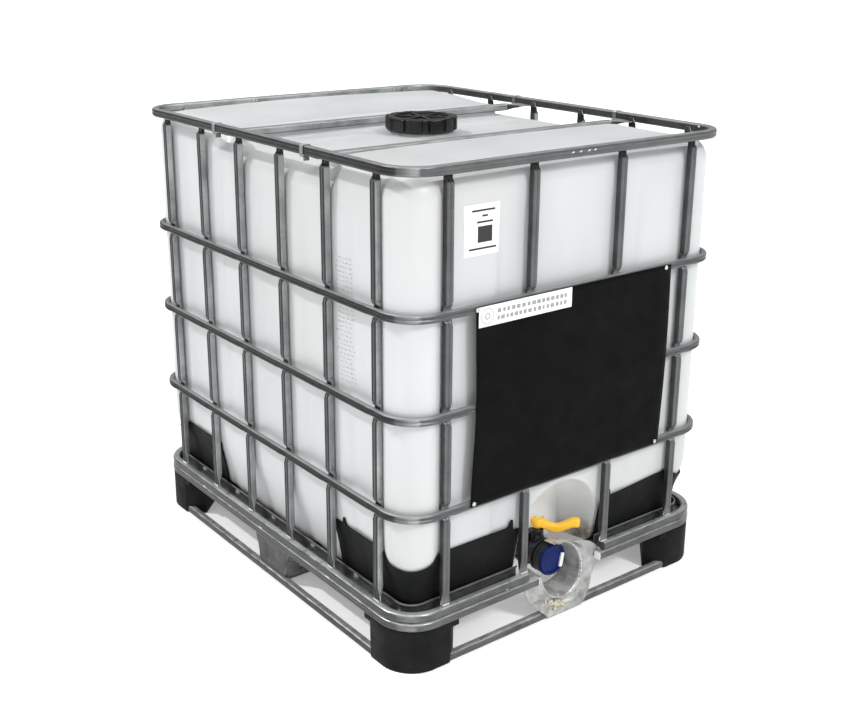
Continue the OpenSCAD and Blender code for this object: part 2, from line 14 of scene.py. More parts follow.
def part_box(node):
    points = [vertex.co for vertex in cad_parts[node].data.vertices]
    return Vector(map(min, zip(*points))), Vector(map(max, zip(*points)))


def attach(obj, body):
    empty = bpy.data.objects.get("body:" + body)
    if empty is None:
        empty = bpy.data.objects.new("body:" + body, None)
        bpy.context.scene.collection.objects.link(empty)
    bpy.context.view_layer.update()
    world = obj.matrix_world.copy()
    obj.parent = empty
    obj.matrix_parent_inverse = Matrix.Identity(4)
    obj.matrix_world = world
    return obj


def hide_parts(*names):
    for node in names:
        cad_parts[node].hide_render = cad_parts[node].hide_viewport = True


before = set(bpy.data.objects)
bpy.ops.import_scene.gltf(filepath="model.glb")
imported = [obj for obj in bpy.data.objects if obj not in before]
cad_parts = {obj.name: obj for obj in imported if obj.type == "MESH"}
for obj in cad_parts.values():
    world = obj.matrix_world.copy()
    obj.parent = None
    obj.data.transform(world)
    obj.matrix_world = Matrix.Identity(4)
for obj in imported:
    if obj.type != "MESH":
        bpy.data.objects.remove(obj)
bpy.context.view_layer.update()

# ---------------------------------------------------------------- driving sizes, from the frame


def middle(node):
    """Centre of a CAD node."""
    low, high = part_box(node)
    return (low + high) / 2


def size(node):
    """A CAD node's extent along each axis."""
    low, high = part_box(node)
    return high - low


HALF_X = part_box("pallet_ring")[1].x
HALF_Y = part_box("pallet_ring")[1].y
RING_CORNER = 0.095
RINGS = ("ring_lower", "ring_middle", "ring_upper")
RING_Z = [middle(name).z for name in RINGS]
RING_DEPTH = {"skid_ring": 0.020, "pallet_ring": 0.022, "cage_base_ring": 0.020, "ring_lower": 0.016,
              "ring_middle": 0.016, "ring_upper": 0.016, "top_rim": 0.020}
BASE_GAP = (0.127, 0.127)
PALLET_GAP = (0.095, 0.113)
RIM_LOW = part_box("top_rim")[0].z
RIM_MID = middle("top_rim").z
BAR_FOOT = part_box("front_bar_1")[0].z
BAR_INSET = 0.019
END_BARS = [middle(f"front_bar_{i}").x for i in range(1, 5)]
SIDE_BARS = [middle(f"left_bar_{i}").y for i in range(1, 7)]
BAR_W = size("front_bar_1").x
BAR_D = size("front_bar_1").y

BOTTLE_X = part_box("bottle")[1].x
BOTTLE_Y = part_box("bottle")[1].y
BOTTLE_CORNER = 0.062
BOTTLE_BULGE = 0.012
CORE_X = BOTTLE_X - BOTTLE_CORNER
CORE_Y = BOTTLE_Y - BOTTLE_CORNER
DECK_Z = 0.130
DECK_EDGE = 0.044
LEG_INSET = 0.016
RECESS_HALF = 0.130
RECESS_ARCH_Z = 0.215
RECESS_BACK = -0.445
SADDLE_Z = 1.113
SHOULDER_R = 0.055
NECK_R = 0.0795
NECK_BORE = 0.073
NECK_PITCH = 0.007
BAR_FRONT_Y = middle("crossbar_front").y
BAR_REAR_Y = middle("crossbar_rear").y

OUTLET_Z = middle("outlet_cap").z
OUTLET_BORE = 0.025
OUTLET_PITCH = 0.006
STEM_Y = middle("valve_stem").y
HANDLE_REST = math.radians(-40)
GUARD_Z = OUTLET_Z - 0.014

# middles of the stained ledge and of the painted glow in the valve recess, both on the bottle
LEDGE_STAIN = (0.128, -0.520, 0.150)
RECESS_LIGHT = (0.0, -0.470, 0.250)

# a wall or tube faces squarely along an axis where its normal is longer than this
SQUARE = 0.999

# strengths of the lights and of the floor's own glow, and how much painted shade darkens the cage's and
# pallet's long sides
AMBIENT, SIDE, FRONT, FILL, TOP = 0.27, 1.70, 1.6, 0.72, 1.15
FLOOR_GLOW = 0.26
LONG_SIDE_SHADE = 0.34

# camera: place, then azimuth, tilt and roll in degrees, focal length in mm and shift of the frame
CAMERA_PLACE = (-1.87116, -2.45016, 1.57792)
CAMERA_TURN = (37.930, 17.503, 0.4285)
CAMERA_LENS = 50.14
CAMERA_SHIFT = (-0.0030, -0.0456)

# ---------------------------------------------------------------- small maths


def ease(t):
    """Smooth step from 0 to 1."""
    t = np.clip(t, 0.0, 1.0)
    return t * t * (3 - 2 * t)


def near(distance, half, edge):
    """1 within half of a place, easing to 0 over edge."""
    return ease((half + edge - np.abs(distance)) / edge)


def steps(start, stop, pitch):
    """Evenly spaced values from start to stop, both included."""
    return np.linspace(start, stop, max(2, int(round(abs(stop - start) / pitch)) + 1))


def wander(values, scale, seed):
    """A smooth wavy offset along values, between about -1 and 1."""
    phase = np.random.default_rng(seed).uniform(0, 2 * math.pi, 4)
    waves = (1.0, 2.3, 4.1, 7.7)
    return sum(np.sin(values * scale * w + p) / w for w, p in zip(waves, phase)) / 1.6


GROOVE_POINTS = 7


def tube_section(width, height, radius, groove=0.0, groove_half=0.004, rounds=5):
    """Closed outline of a tube as (outward, up) pairs, with a groove along its outward face."""
    outline = []
    for sx, sy, start in ((1, 1, 0), (-1, 1, 90), (-1, -1, 180), (1, -1, 270)):
        for k in range(rounds + 1):
            a = math.radians(start + 90 * k / rounds)
            outline.append((sx * (width / 2 - radius) + radius * math.cos(a),
                            sy * (height / 2 - radius) + radius * math.sin(a)))
    for b in np.linspace(-groove_half, groove_half, GROOVE_POINTS):
        outline.append((width / 2 - groove * math.cos(math.pi * b / groove_half / 2) ** 2, b))
    return np.array(outline)


def plain_section(width, height, radius, rounds=5):
    """Closed outline of a tube without a groove."""
    return tube_section(width, height, radius, rounds=rounds)[:-GROOVE_POINTS]


def ring_path(half_x, half_y, corner, pitch, gap=(0.0, 0.0)):
    """Centre line and outward normals of a ring seen from above, anticlockwise round from its front gap."""
    core_x, core_y = half_x - corner, half_y - corner
    points, normals = [], []

    def run(start, stop, normal):
        count = max(2, int(np.linalg.norm(np.subtract(stop, start)) / pitch))
        for t in np.linspace(0, 1, count, endpoint=False):
            points.append(np.add(start, np.multiply(t, np.subtract(stop, start))))
            normals.append(normal)

    def bend(cx, cy, start):
        for a in np.radians(np.linspace(start, start + 90, 18, endpoint=False)):
            points.append((cx + corner * math.cos(a), cy + corner * math.sin(a)))
            normals.append((math.cos(a), math.sin(a)))

    run((gap[1], -half_y), (core_x, -half_y), (0, -1))
    bend(core_x, -core_y, -90)
    run((half_x, -core_y), (half_x, core_y), (1, 0))
    bend(core_x, core_y, 0)
    run((core_x, half_y), (-core_x, half_y), (0, 1))
    bend(-core_x, core_y, 90)
    run((-half_x, core_y), (-half_x, -core_y), (-1, 0))
    bend(-core_x, -core_y, 180)
    run((-core_x, -half_y), (-gap[0], -half_y), (0, -1))
    if gap[0] > 0:
        points.append((-gap[0], -half_y))
        normals.append((0, -1))
    return np.array(points, float), np.array(normals, float)


# ---------------------------------------------------------------- mesh helpers


def piece(name, verts, faces, material, slot, body="container", replaces=(), sharp=40):
    """A mesh piece of the object that rides on a body and stands for CAD nodes."""
    mesh = bpy.data.meshes.new(name)
    mesh.from_pydata([tuple(v) for v in verts], [], faces)
    mesh.validate()
    mesh.shade_smooth()
    mesh.set_sharp_from_angle(angle=math.radians(sharp))
    obj = bpy.data.objects.new(name, mesh)
    bpy.context.scene.collection.objects.link(obj)
    mesh.materials.append(material)
    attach(obj, body)
    if replaces:
        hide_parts(*replaces)
    return obj


class Shape:
    """Gathers grids and fans of points into one mesh."""

    def __init__(self):
        self.verts, self.faces, self.count = [], [], 0

    def add(self, verts, faces):
        self.verts.append(np.asarray(verts, float).reshape(-1, 3))
        self.faces += [tuple(i + self.count for i in f) for f in faces]
        self.count += len(self.verts[-1])
        return self

    def grid(self, points, wrap_u=False, wrap_v=False, caps=False, flip=False):
        """points[i][j] joined into quads; wrap closes a direction and caps fills both ends of i."""
        n, m = points.shape[:2]
        quads = []
        for i in range(n if wrap_u else n - 1):
            for j in range(m if wrap_v else m - 1):
                a, b = i * m + j, i * m + (j + 1) % m
                c, d = ((i + 1) % n) * m + (j + 1) % m, ((i + 1) % n) * m + j
                quads.append((a, d, c, b) if flip else (a, b, c, d))
        if caps:
            first, last = tuple(range(m)), tuple((n - 1) * m + j for j in range(m))
            quads += [first, last[::-1]] if flip else [first[::-1], last]
        return self.add(points.reshape(-1, 3), quads)

    def spun(self, *profile_and_place, **more):
        """Adds what turned() makes, closed round its axis."""
        return self.grid(turned(*profile_and_place, **more), wrap_u=True)

    def block(self, *place_and_size):
        """Adds what rounded_box() makes, closed at both ends."""
        return self.grid(rounded_box(*place_and_size), wrap_v=True, caps=True)

    def points(self):
        return np.concatenate(self.verts)

    def piece(self, name, material, slot, **more):
        return piece(name, self.points(), self.faces, material, slot, **more)


def carry(path, outward, upward, sections):
    """Grid of a section carried along a path; sections is one outline, or one for each station."""
    sections = np.broadcast_to(sections, (len(path),) + np.shape(sections)[-2:])
    return (path[:, None, :] + sections[:, :, :1] * outward[:, None, :]
            + sections[:, :, 1:] * upward[:, None, :])


def swept(path, outward, upward, sections):
    """A capped shape of a section carried along a path with the same two directions all the way."""
    across = np.broadcast_to(np.array(outward, float), path.shape)
    above = np.broadcast_to(np.array(upward, float), path.shape)
    return Shape().grid(carry(path, across, above, sections), wrap_v=True, caps=True)


def turned(profile, centre, axis="Z", count=64, radius_of=None):
    """Grid of a turned shape: profile is (radius, height) pairs and radius_of may vary it by angle."""
    profile = np.array(profile, float)
    angles = np.linspace(0, 2 * math.pi, count, endpoint=False)
    radii = np.repeat(profile[None, :, 0], count, axis=0)
    if radius_of is not None:
        radii = radius_of(angles[:, None], profile[None, :, 0], profile[None, :, 1])
    heights = np.broadcast_to(profile[None, :, 1], radii.shape)
    a, b = radii * np.cos(angles)[:, None], radii * np.sin(angles)[:, None]
    grid = {"Z": (a, b, heights), "Y": (a, -heights, b), "X": (heights, a, b)}[axis]
    return np.stack(grid, axis=-1) + np.array(centre, float)


def rounded_box(centre, extent, radius=0.001, turn=0.0, steps_round=2):
    """A small block with soft edges, as a grid from its bottom to its top."""
    ex, ey, ez = np.array(extent) / 2
    outline = plain_section(2 * ex, 2 * ey, min(radius * 2, ex, ey) * 0.999, steps_round)
    rows = []
    for k in range(2 * (steps_round + 1)):
        a = math.pi / 2 * (k % (steps_round + 1)) / steps_round
        lower = k <= steps_round
        inset = radius * (1 - (math.sin(a) if lower else math.cos(a)))
        z = (-ez + radius * (1 - math.cos(a))) if lower else (ez - radius * (1 - math.sin(a)))
        scale = np.array([1 - inset / ex, 1 - inset / ey])
        rows.append(np.column_stack([outline * scale, np.full(len(outline), z)]))
    grid = np.array(rows)
    c, s = math.cos(turn), math.sin(turn)
    spun = np.stack([grid[..., 0] * c - grid[..., 1] * s, grid[..., 0] * s + grid[..., 1] * c,
                     grid[..., 2]], axis=-1)
    return spun + np.array(centre, float)


def bead(shape, start, stop, radius, seed, normal=(0, 0, 1)):
    """A weld bead: a short irregular caterpillar between two points."""
    start, stop, normal = (np.array(v, float) for v in (start, stop, normal))
    along = stop - start
    length = np.linalg.norm(along)
    along /= length
    side = np.cross(along, normal)
    t = steps(0, 1, 0.0016 / length)
    swell = 0.75 + 0.25 * np.abs(np.sin(t * length / 0.0028 * math.pi))
    swell *= np.sqrt(np.clip(1 - (2 * t - 1) ** 6, 0.02, 1)) * (1 + 0.15 * wander(t * length, 900, seed))
    angles = np.linspace(0, 2 * math.pi, 10, endpoint=False)
    path = start + t[:, None] * along * length
    circle = np.stack([np.cos(angles), np.sin(angles)], axis=-1) * radius
    grid = carry(path, np.broadcast_to(side, path.shape), np.broadcast_to(normal, path.shape),
                 circle[None] * swell[:, None, None])
    shape.grid(grid, wrap_v=True, caps=True)


def thicken(obj, thickness, offset=-1.0, bevel=0.0):
    """Gives a sheet its thickness, and soft edges where bevel is set."""
    modifier = obj.modifiers.new("thickness", "SOLIDIFY")
    modifier.thickness = thickness
    modifier.offset = offset
    if bevel:
        soft = obj.modifiers.new("edge", "BEVEL")
        soft.width = bevel
        soft.segments = 2
        soft.limit_method = "ANGLE"
        soft.angle_limit = math.radians(50)
    return obj


# ---------------------------------------------------------------- materials


class Look:
    """A node material with small helpers that chain procedural patterns into the shader."""

    def __init__(self, name, roughness, metallic=0.0, **sockets):
        self.material = bpy.data.materials.new(name)
        self.material.use_nodes = True
        self.tree = self.material.node_tree
        self.shader = self.tree.nodes["Principled BSDF"]
        self.shader.inputs["Roughness"].default_value = roughness
        self.shader.inputs["Metallic"].default_value = metallic
        for key, value in sockets.items():
            self.shader.inputs[key.replace("_", " ")].default_value = value
        self.place = self.node("ShaderNodeTexCoord").outputs["Object"]
        self.normal = None

    def node(self, kind, **settings):
        made = self.tree.nodes.new(kind)
        for key, value in settings.items():
            setattr(made, key, value)
        return made

    def link(self, output, socket):
        self.tree.links.new(output, socket)

    def stretched(self, scale):
        mapping = self.node("ShaderNodeMapping")
        mapping.inputs["Scale"].default_value = scale
        self.link(self.place, mapping.inputs["Vector"])
        return mapping.outputs["Vector"]

    def noise(self, scale, detail=4.0, rough=0.55, stretch=None):
        made = self.node("ShaderNodeTexNoise")
        made.inputs["Scale"].default_value = scale
        made.inputs["Detail"].default_value = detail
        made.inputs["Roughness"].default_value = rough
        self.link(self.stretched(stretch) if stretch else self.place, made.inputs["Vector"])
        return made.outputs["Fac"]

    def cells(self, scale, stretch=None):
        made = self.node("ShaderNodeTexVoronoi")
        made.inputs["Scale"].default_value = scale
        self.link(self.stretched(stretch) if stretch else self.place, made.inputs["Vector"])
        grey = self.node("ShaderNodeRGBToBW")
        self.link(made.outputs["Color"], grey.inputs["Color"])
        return grey.outputs["Val"]

    def ramp(self, value, *stops):
        made = self.node("ShaderNodeValToRGB")
        line = made.color_ramp
        while len(line.elements) < len(stops):
            line.elements.new(0.5)
        for element, (place, colour) in zip(line.elements, stops):
            element.position = place
            element.color = (*colour, 1.0)
        self.link(value, made.inputs["Fac"])
        return made.outputs["Color"]

    def mix(self, share, a, b):
        made = self.node("ShaderNodeMix", data_type="RGBA")
        for value, socket in ((share, made.inputs[0]), (a, made.inputs[6]), (b, made.inputs[7])):
            if isinstance(value, bpy.types.NodeSocket):
                self.link(value, socket)
            elif isinstance(value, tuple):
                socket.default_value = (*value, 1.0)
            else:
                socket.default_value = value
        return made.outputs[2]

    def band(self, value, low, high, to_low=0.0, to_high=1.0):
        made = self.node("ShaderNodeMapRange")
        for name, number in (("From Min", low), ("From Max", high), ("To Min", to_low), ("To Max", to_high)):
            made.inputs[name].default_value = number
        self.link(value, made.inputs["Value"])
        return made.outputs["Result"]

    def blend(self, kind, share, a, b):
        made = self.node("ShaderNodeMix", data_type="RGBA", blend_type=kind)
        made.inputs[0].default_value = share
        self.link(a, made.inputs[6])
        self.link(b, made.inputs[7])
        return made.outputs[2]

    def along_normal(self, axis):
        """How far a face looks along an axis: -1 to 1."""
        split = self.node("ShaderNodeSeparateXYZ")
        self.link(self.node("ShaderNodeNewGeometry").outputs["Normal"], split.inputs["Vector"])
        return split.outputs[axis]

    def facing(self, axis):
        """How squarely a face looks along an axis, either way: 0 to 1."""
        return self.maths("ABSOLUTE", self.along_normal(axis), 0.0)

    def beyond(self, axis, reach):
        """1 farther than reach from the middle along an axis, easing to 0 over 4 mm."""
        return self.band(self.maths("ABSOLUTE", self.height(axis), 0.0), reach, reach + 0.004)

    def outward(self):
        """1 on the outermost faces of the cage, which get painted shade, and 0 elsewhere."""
        shares = []
        for axis, reach in (("X", HALF_X), ("Y", HALF_Y)):
            square = self.band(self.facing(axis), 0.55, 0.85)
            shares.append(self.maths("MULTIPLY", self.beyond(axis, reach - 0.0165), square))
        return self.maths("MAXIMUM", *shares)

    def distance(self, place):
        made = self.node("ShaderNodeVectorMath", operation="DISTANCE")
        made.inputs[1].default_value = place
        self.link(self.place, made.inputs[0])
        return made.outputs["Value"]

    def height(self, axis="Z"):
        split = self.node("ShaderNodeSeparateXYZ")
        self.link(self.place, split.inputs["Vector"])
        return split.outputs[axis]

    def maths(self, operation, a, b):
        made = self.node("ShaderNodeMath", operation=operation)
        for value, socket in ((a, made.inputs[0]), (b, made.inputs[1])):
            if isinstance(value, bpy.types.NodeSocket):
                self.link(value, socket)
            else:
                socket.default_value = value
        return made.outputs[0]

    def colour(self, output):
        self.link(output, self.shader.inputs["Base Color"])

    def rough(self, value, low, high):
        self.link(self.band(value, 0.3, 0.7, low, high), self.shader.inputs["Roughness"])

    def bump(self, value, distance, strength=1.0):
        made = self.node("ShaderNodeBump")
        made.inputs["Strength"].default_value = strength
        made.inputs["Distance"].default_value = distance
        self.link(value, made.inputs["Height"])
        if self.normal is not None:
            self.link(self.normal, made.inputs["Normal"])
        self.normal = made.outputs["Normal"]
        self.link(self.normal, self.shader.inputs["Normal"])


def painted_side_shading(look, lit, dark, ends):
    """Painted shade on long sides, painted light or shade on the ends, painted rim shadow where bars run
    under it.
    """
    # painted shade on faces that look along X, painted light or shade on faces that look along Y
    flank_shade = look.band(look.facing("X"), 0.6, 1.0, 1.0, LONG_SIDE_SHADE)
    end = look.band(look.facing("Y"), 0.6, 1.0, 1.0, ends)
    lit = look.blend("MULTIPLY", 1.0, lit, look.maths("MULTIPLY", flank_shade, end))
    # painted shadow of the rim: a dark band on the outer bars just below it
    rim_shadow = look.maths("MULTIPLY", look.band(look.height(), RIM_LOW - 0.020, RIM_LOW - 0.015),
                           look.band(look.height(), RIM_LOW + 0.001, RIM_LOW))
    edge = look.maths("MAXIMUM", look.beyond("X", HALF_X - 0.034), look.beyond("Y", HALF_Y - 0.034))
    return look.mix(look.maths("MULTIPLY", rim_shadow, edge), lit, tuple(0.16 * c for c in dark))


def galvanised(name, dark, light, roughness=(0.34, 0.56), grime=0.35, crown=1.9, outer_shade=0.0, ends=1.0):
    """Hot-dip galvanised steel: patchy and faintly spangled; painted light on faces that look up, painted
    shade on outer faces.
    """
    look = Look(name, 0.45, metallic=0.6)
    patches = look.noise(14.0, 6.0)
    spangle = look.cells(160.0)
    streaks = look.noise(30.0, 3.0, stretch=(1.0, 1.0, 9.0))
    middle_grey = tuple((a + b) / 2 for a, b in zip(dark, light))
    grey = look.ramp(patches, (0.30, dark), (0.52, middle_grey), (0.74, light))
    shade = look.ramp(spangle, (0.0, (0.86, 0.86, 0.86)), (1.0, (1.0, 1.0, 1.0)))
    tinted = look.blend("MULTIPLY", 0.6, grey, shade)
    # painted light: faces that look up, broken by the streaks, go towards a lighter grey set by crown
    top_light_and_streaks = look.maths("ADD", look.along_normal("Z"), look.band(streaks, 0.35, 0.65, -0.18, 0.18))
    lit = look.mix(look.band(top_light_and_streaks, 0.15, 0.95), tinted, tuple(min(crown * c, 0.85) for c in light))
    # painted shade: the outermost faces of the steel are mixed towards a dark grey
    lit = look.mix(look.maths("MULTIPLY", look.outward(), outer_shade), lit, tuple(0.34 * c for c in dark))
    if outer_shade:
        lit = painted_side_shading(look, lit, dark, ends)
    dirt = look.maths("MULTIPLY", look.band(look.height(), 0.28, 0.02, 0.0, grime),
                      look.band(look.noise(38.0, 5.0), 0.42, 0.62))
    look.colour(look.mix(dirt, lit, (0.075, 0.068, 0.058)))
    look.rough(streaks, *roughness)
    look.bump(look.noise(420.0, 3.0), 0.00025, 0.35)
    look.bump(look.noise(40.0, 3.0), 0.0006, 0.4)
    return look.material


def moulded(name, dark, light, roughness=(0.42, 0.6), grain=900.0, dust=0.0, shine=0.22):
    """Moulded plastic with a fine grain, faint clouding and dust near the ground."""
    look = Look(name, 0.5, Specular_IOR_Level=shine)
    clouds = look.ramp(look.noise(9.0, 5.0), (0.3, dark), (0.7, light))
    if dust:
        low = look.maths("MULTIPLY", look.band(look.height(), 0.24, 0.0, 0.0, dust),
                         look.band(look.noise(26.0, 6.0), 0.38, 0.66))
        clouds = look.mix(low, clouds, (0.045, 0.043, 0.038))
    look.colour(clouds)
    look.rough(look.noise(22.0, 3.0), *roughness)
    look.bump(look.noise(grain, 2.0), 0.00012, 0.5)
    return look.material


def bottle_look():
    """Blow-moulded natural polyethylene: milky white, softly clouded, stained at the foot, with a painted
    glow in the valve recess.
    """
    look = Look("bottle_polymer", 0.36, IOR=1.5)
    clouds = look.ramp(look.noise(3.2, 3.0, stretch=(1.0, 1.0, 0.35)),
                       (0.30, (0.50, 0.52, 0.525)), (0.55, (0.56, 0.578, 0.582)),
                       (0.78, (0.605, 0.613, 0.625)))
    warm = look.band(look.noise(1.7, 2.0), 0.52, 0.75, 0.0, 0.55)
    tinted = look.mix(warm, clouds, (0.555, 0.56, 0.53))
    stain = look.maths("MULTIPLY", look.band(look.height(), 0.175, 0.135),
                       look.band(look.noise(34.0, 5.0), 0.40, 0.62, 0.1, 1.0))
    tinted = look.mix(stain, tinted, (0.30, 0.25, 0.19))
    ledge = look.maths("MULTIPLY", look.band(look.distance(LEDGE_STAIN), 0.046, 0.020),
                       look.band(look.noise(70.0, 5.0), 0.36, 0.60, 0.25, 0.85))
    look.colour(look.mix(ledge, tinted, (0.16, 0.12, 0.085)))
    # painted light: the bottle glows round the valve recess
    glow = look.band(look.distance(RECESS_LIGHT), 0.150, 0.080, 0.0, 0.24)
    look.link(glow, look.shader.inputs["Emission Strength"])
    look.shader.inputs["Emission Color"].default_value = (1.0, 0.99, 0.96, 1.0)
    look.rough(look.noise(7.0, 3.0), 0.30, 0.46)
    look.bump(look.noise(60.0, 2.0), 0.0004, 0.25)
    look.bump(look.noise(9.0, 2.0), 0.002, 0.25)
    return look.material


def rust_look():
    """Rough rust, from dark brown to pale beige."""
    look = Look("rust_spots", 0.85)
    look.colour(look.ramp(look.noise(220.0, 6.0), (0.34, (0.12, 0.095, 0.06)), (0.48, (0.42, 0.38, 0.28)),
                          (0.66, (0.66, 0.63, 0.53))))
    look.rough(look.noise(90.0, 3.0), 0.6, 0.9)
    look.bump(look.noise(420.0, 4.0), 0.0006, 0.8)
    return look.material


def printed(name, paper):
    """Printed film: paper white with faint handling marks."""
    look = Look(name, 0.4)
    look.colour(look.ramp(look.noise(30.0, 5.0), (0.35, tuple(0.9 * c for c in paper)), (0.6, paper)))
    look.rough(look.noise(18.0, 3.0), 0.32, 0.5)
    look.bump(look.noise(300.0, 2.0), 0.0001, 0.3)
    return look.material


def make_materials():
    return {
        # painted light on the cage's ends, painted shade on the pallet's ends, painted shade on both steels'
        # outer faces
        "cage": galvanised("galvanised_cage", (0.105, 0.109, 0.112), (0.235, 0.242, 0.245),
                           grime=0.15, crown=1.35, outer_shade=0.85, ends=2.2),
        "clip": galvanised("galvanised_clip", (0.12, 0.125, 0.127), (0.30, 0.307, 0.31), grime=0.1),
        "pallet": galvanised("galvanised_pallet", (0.11, 0.115, 0.117), (0.25, 0.257, 0.26),
                             (0.24, 0.42), 0.35, 2.1, 0.45, ends=0.85),
        "deck": galvanised("galvanised_deck", (0.085, 0.087, 0.089), (0.21, 0.215, 0.22),
                           (0.24, 0.42), 0.5, 1.3),
        "sheet": galvanised("galvanised_sheet", (0.33, 0.34, 0.33), (0.60, 0.60, 0.585),
                            (0.28, 0.44), 0.4, 1.1),
        "zinc": galvanised("bright_zinc", (0.45, 0.46, 0.47), (0.75, 0.76, 0.78), (0.22, 0.38), 0.1, 1.1),
        "weld": galvanised("zinc_sprayed_weld", (0.42, 0.43, 0.44), (0.82, 0.83, 0.84),
                           (0.35, 0.6), 0.2, 1.0),
        "bottle": bottle_look(),
        "black": moulded("black_moulded", (0.004, 0.0043, 0.0046), (0.008, 0.0085, 0.009), (0.5, 0.68),
                         dust=0.12, shine=0.10),
        "lid": moulded("black_lid", (0.0018, 0.0018, 0.0022), (0.0045, 0.0045, 0.0055),
                       (0.16, 0.34), shine=0.55),
        "valve": moulded("black_valve", (0.006, 0.006, 0.008), (0.016, 0.017, 0.02), (0.22, 0.4), shine=0.4),
        "seal": moulded("black_rubber", (0.018, 0.018, 0.018), (0.035, 0.035, 0.034), (0.6, 0.8), 300.0),
        "plate": moulded("black_painted_plate", (0.0016, 0.0016, 0.0017), (0.003, 0.003, 0.0034),
                         (0.55, 0.7), 500.0, shine=0.07),
        "handle": moulded("yellow_handle", (0.88, 0.46, 0.025), (0.97, 0.56, 0.042), (0.3, 0.45), shine=0.4),
        "blue": moulded("blue_cap", (0.0012, 0.0075, 0.078), (0.0025, 0.014, 0.115),
                         (0.24, 0.38), shine=0.16),
        "plug": moulded("white_plug", (0.70, 0.71, 0.72), (0.86, 0.87, 0.88), (0.35, 0.5), shine=0.5),
        "tab": printed("white_tab", (0.84, 0.86, 0.84)),
        "paper": printed("label_paper", (0.88, 0.885, 0.88)),
        "ink": printed("label_ink", (0.012, 0.012, 0.014)),
        "faint_ink": printed("faint_ink", (0.30, 0.31, 0.32)),
        "mark_ink": printed("mark_ink", (0.36, 0.375, 0.38)),
        "rust": rust_look(),
    }


M = make_materials()

# ---------------------------------------------------------------- cage: rings, rim and uprights


def crossing_distance(points, normals):
    """Distance along a ring from each station to the nearest upright, or far away in a corner."""
    distance = np.full(len(points), 1.0)
    for bars, along, across in ((END_BARS, 0, 1), (SIDE_BARS, 1, 0)):
        flat = np.abs(normals[:, across]) > SQUARE
        gaps = np.abs(points[:, along][:, None] - np.array(bars)[None]).min(axis=1)
        distance = np.where(flat, gaps, distance)
    return distance


def ring_tube(name, node, material, slot, radius, groove=0.0, dent=0.0, gap=(0.0, 0.0), pitch=0.006, seed=1):
    """One welded ring of tube with grooved face, pressed a little where the uprights cross it."""
    low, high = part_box(node)
    depth, height = RING_DEPTH[node], high.z - low.z
    half_x, half_y = high.x - depth / 2, high.y - depth / 2
    corner = RING_CORNER - (HALF_X - high.x) - depth / 2
    points, normals = ring_path(half_x, half_y, corner, pitch, gap)
    z = (low.z + high.z) / 2
    run = np.cumsum(np.r_[0, np.linalg.norm(np.diff(points, axis=0), axis=1)])
    press = near(crossing_distance(points, normals), 0.010, 0.012)
    section = tube_section(depth, height, radius, groove)
    shaped = np.repeat(section[None], len(points), axis=0)
    outer = section[:, 0] > depth * 0.2
    shaped[:, outer, 0] -= dent * press[:, None]
    shaped[:, :, 1] *= (1 - 0.05 * press * (dent > 0))[:, None]
    sway = 0.0004 * wander(run, 9.0, seed)
    rise = 0.0005 * wander(run, 6.0, seed + 3)
    rise = np.maximum(rise, -low.z)
    path = np.column_stack([points + normals * np.minimum(sway, 0)[:, None], z + rise])
    outward = np.column_stack([normals, np.zeros(len(points))])
    upward = np.broadcast_to(np.array([0, 0, 1.0]), outward.shape)
    shape = Shape()
    closed = gap[0] == 0
    shape.grid(carry(path, outward, upward, shaped), wrap_u=closed, wrap_v=True, caps=not closed, flip=True)
    return shape.piece(name, material, slot, replaces=[node])


def rings():
    """The cage's rings and rim, its foot ring, the pallet's ring and the skid ring."""
    for i, node in enumerate(RINGS):
        ring_tube(f"cage_{node}", node, M["cage"], "cage_steel", 0.0062, groove=0.0022,
                  dent=0.0012, seed=11 + i)
    ring_tube("cage_top_rim", "top_rim", M["cage"], "cage_steel", 0.0065, groove=0.0006, seed=21)
    ring_tube("pallet_upper_ring", "pallet_ring", M["pallet"], "pallet_steel", 0.006, groove=0.0009,
              gap=PALLET_GAP, seed=31)
    ring_tube("cage_foot_ring", "cage_base_ring", M["pallet"], "pallet_steel", 0.0065, groove=0.0004,
              gap=BASE_GAP, seed=41)
    ring_tube("skid_lower_ring", "skid_ring", M["pallet"], "pallet_steel", 0.006, seed=51)


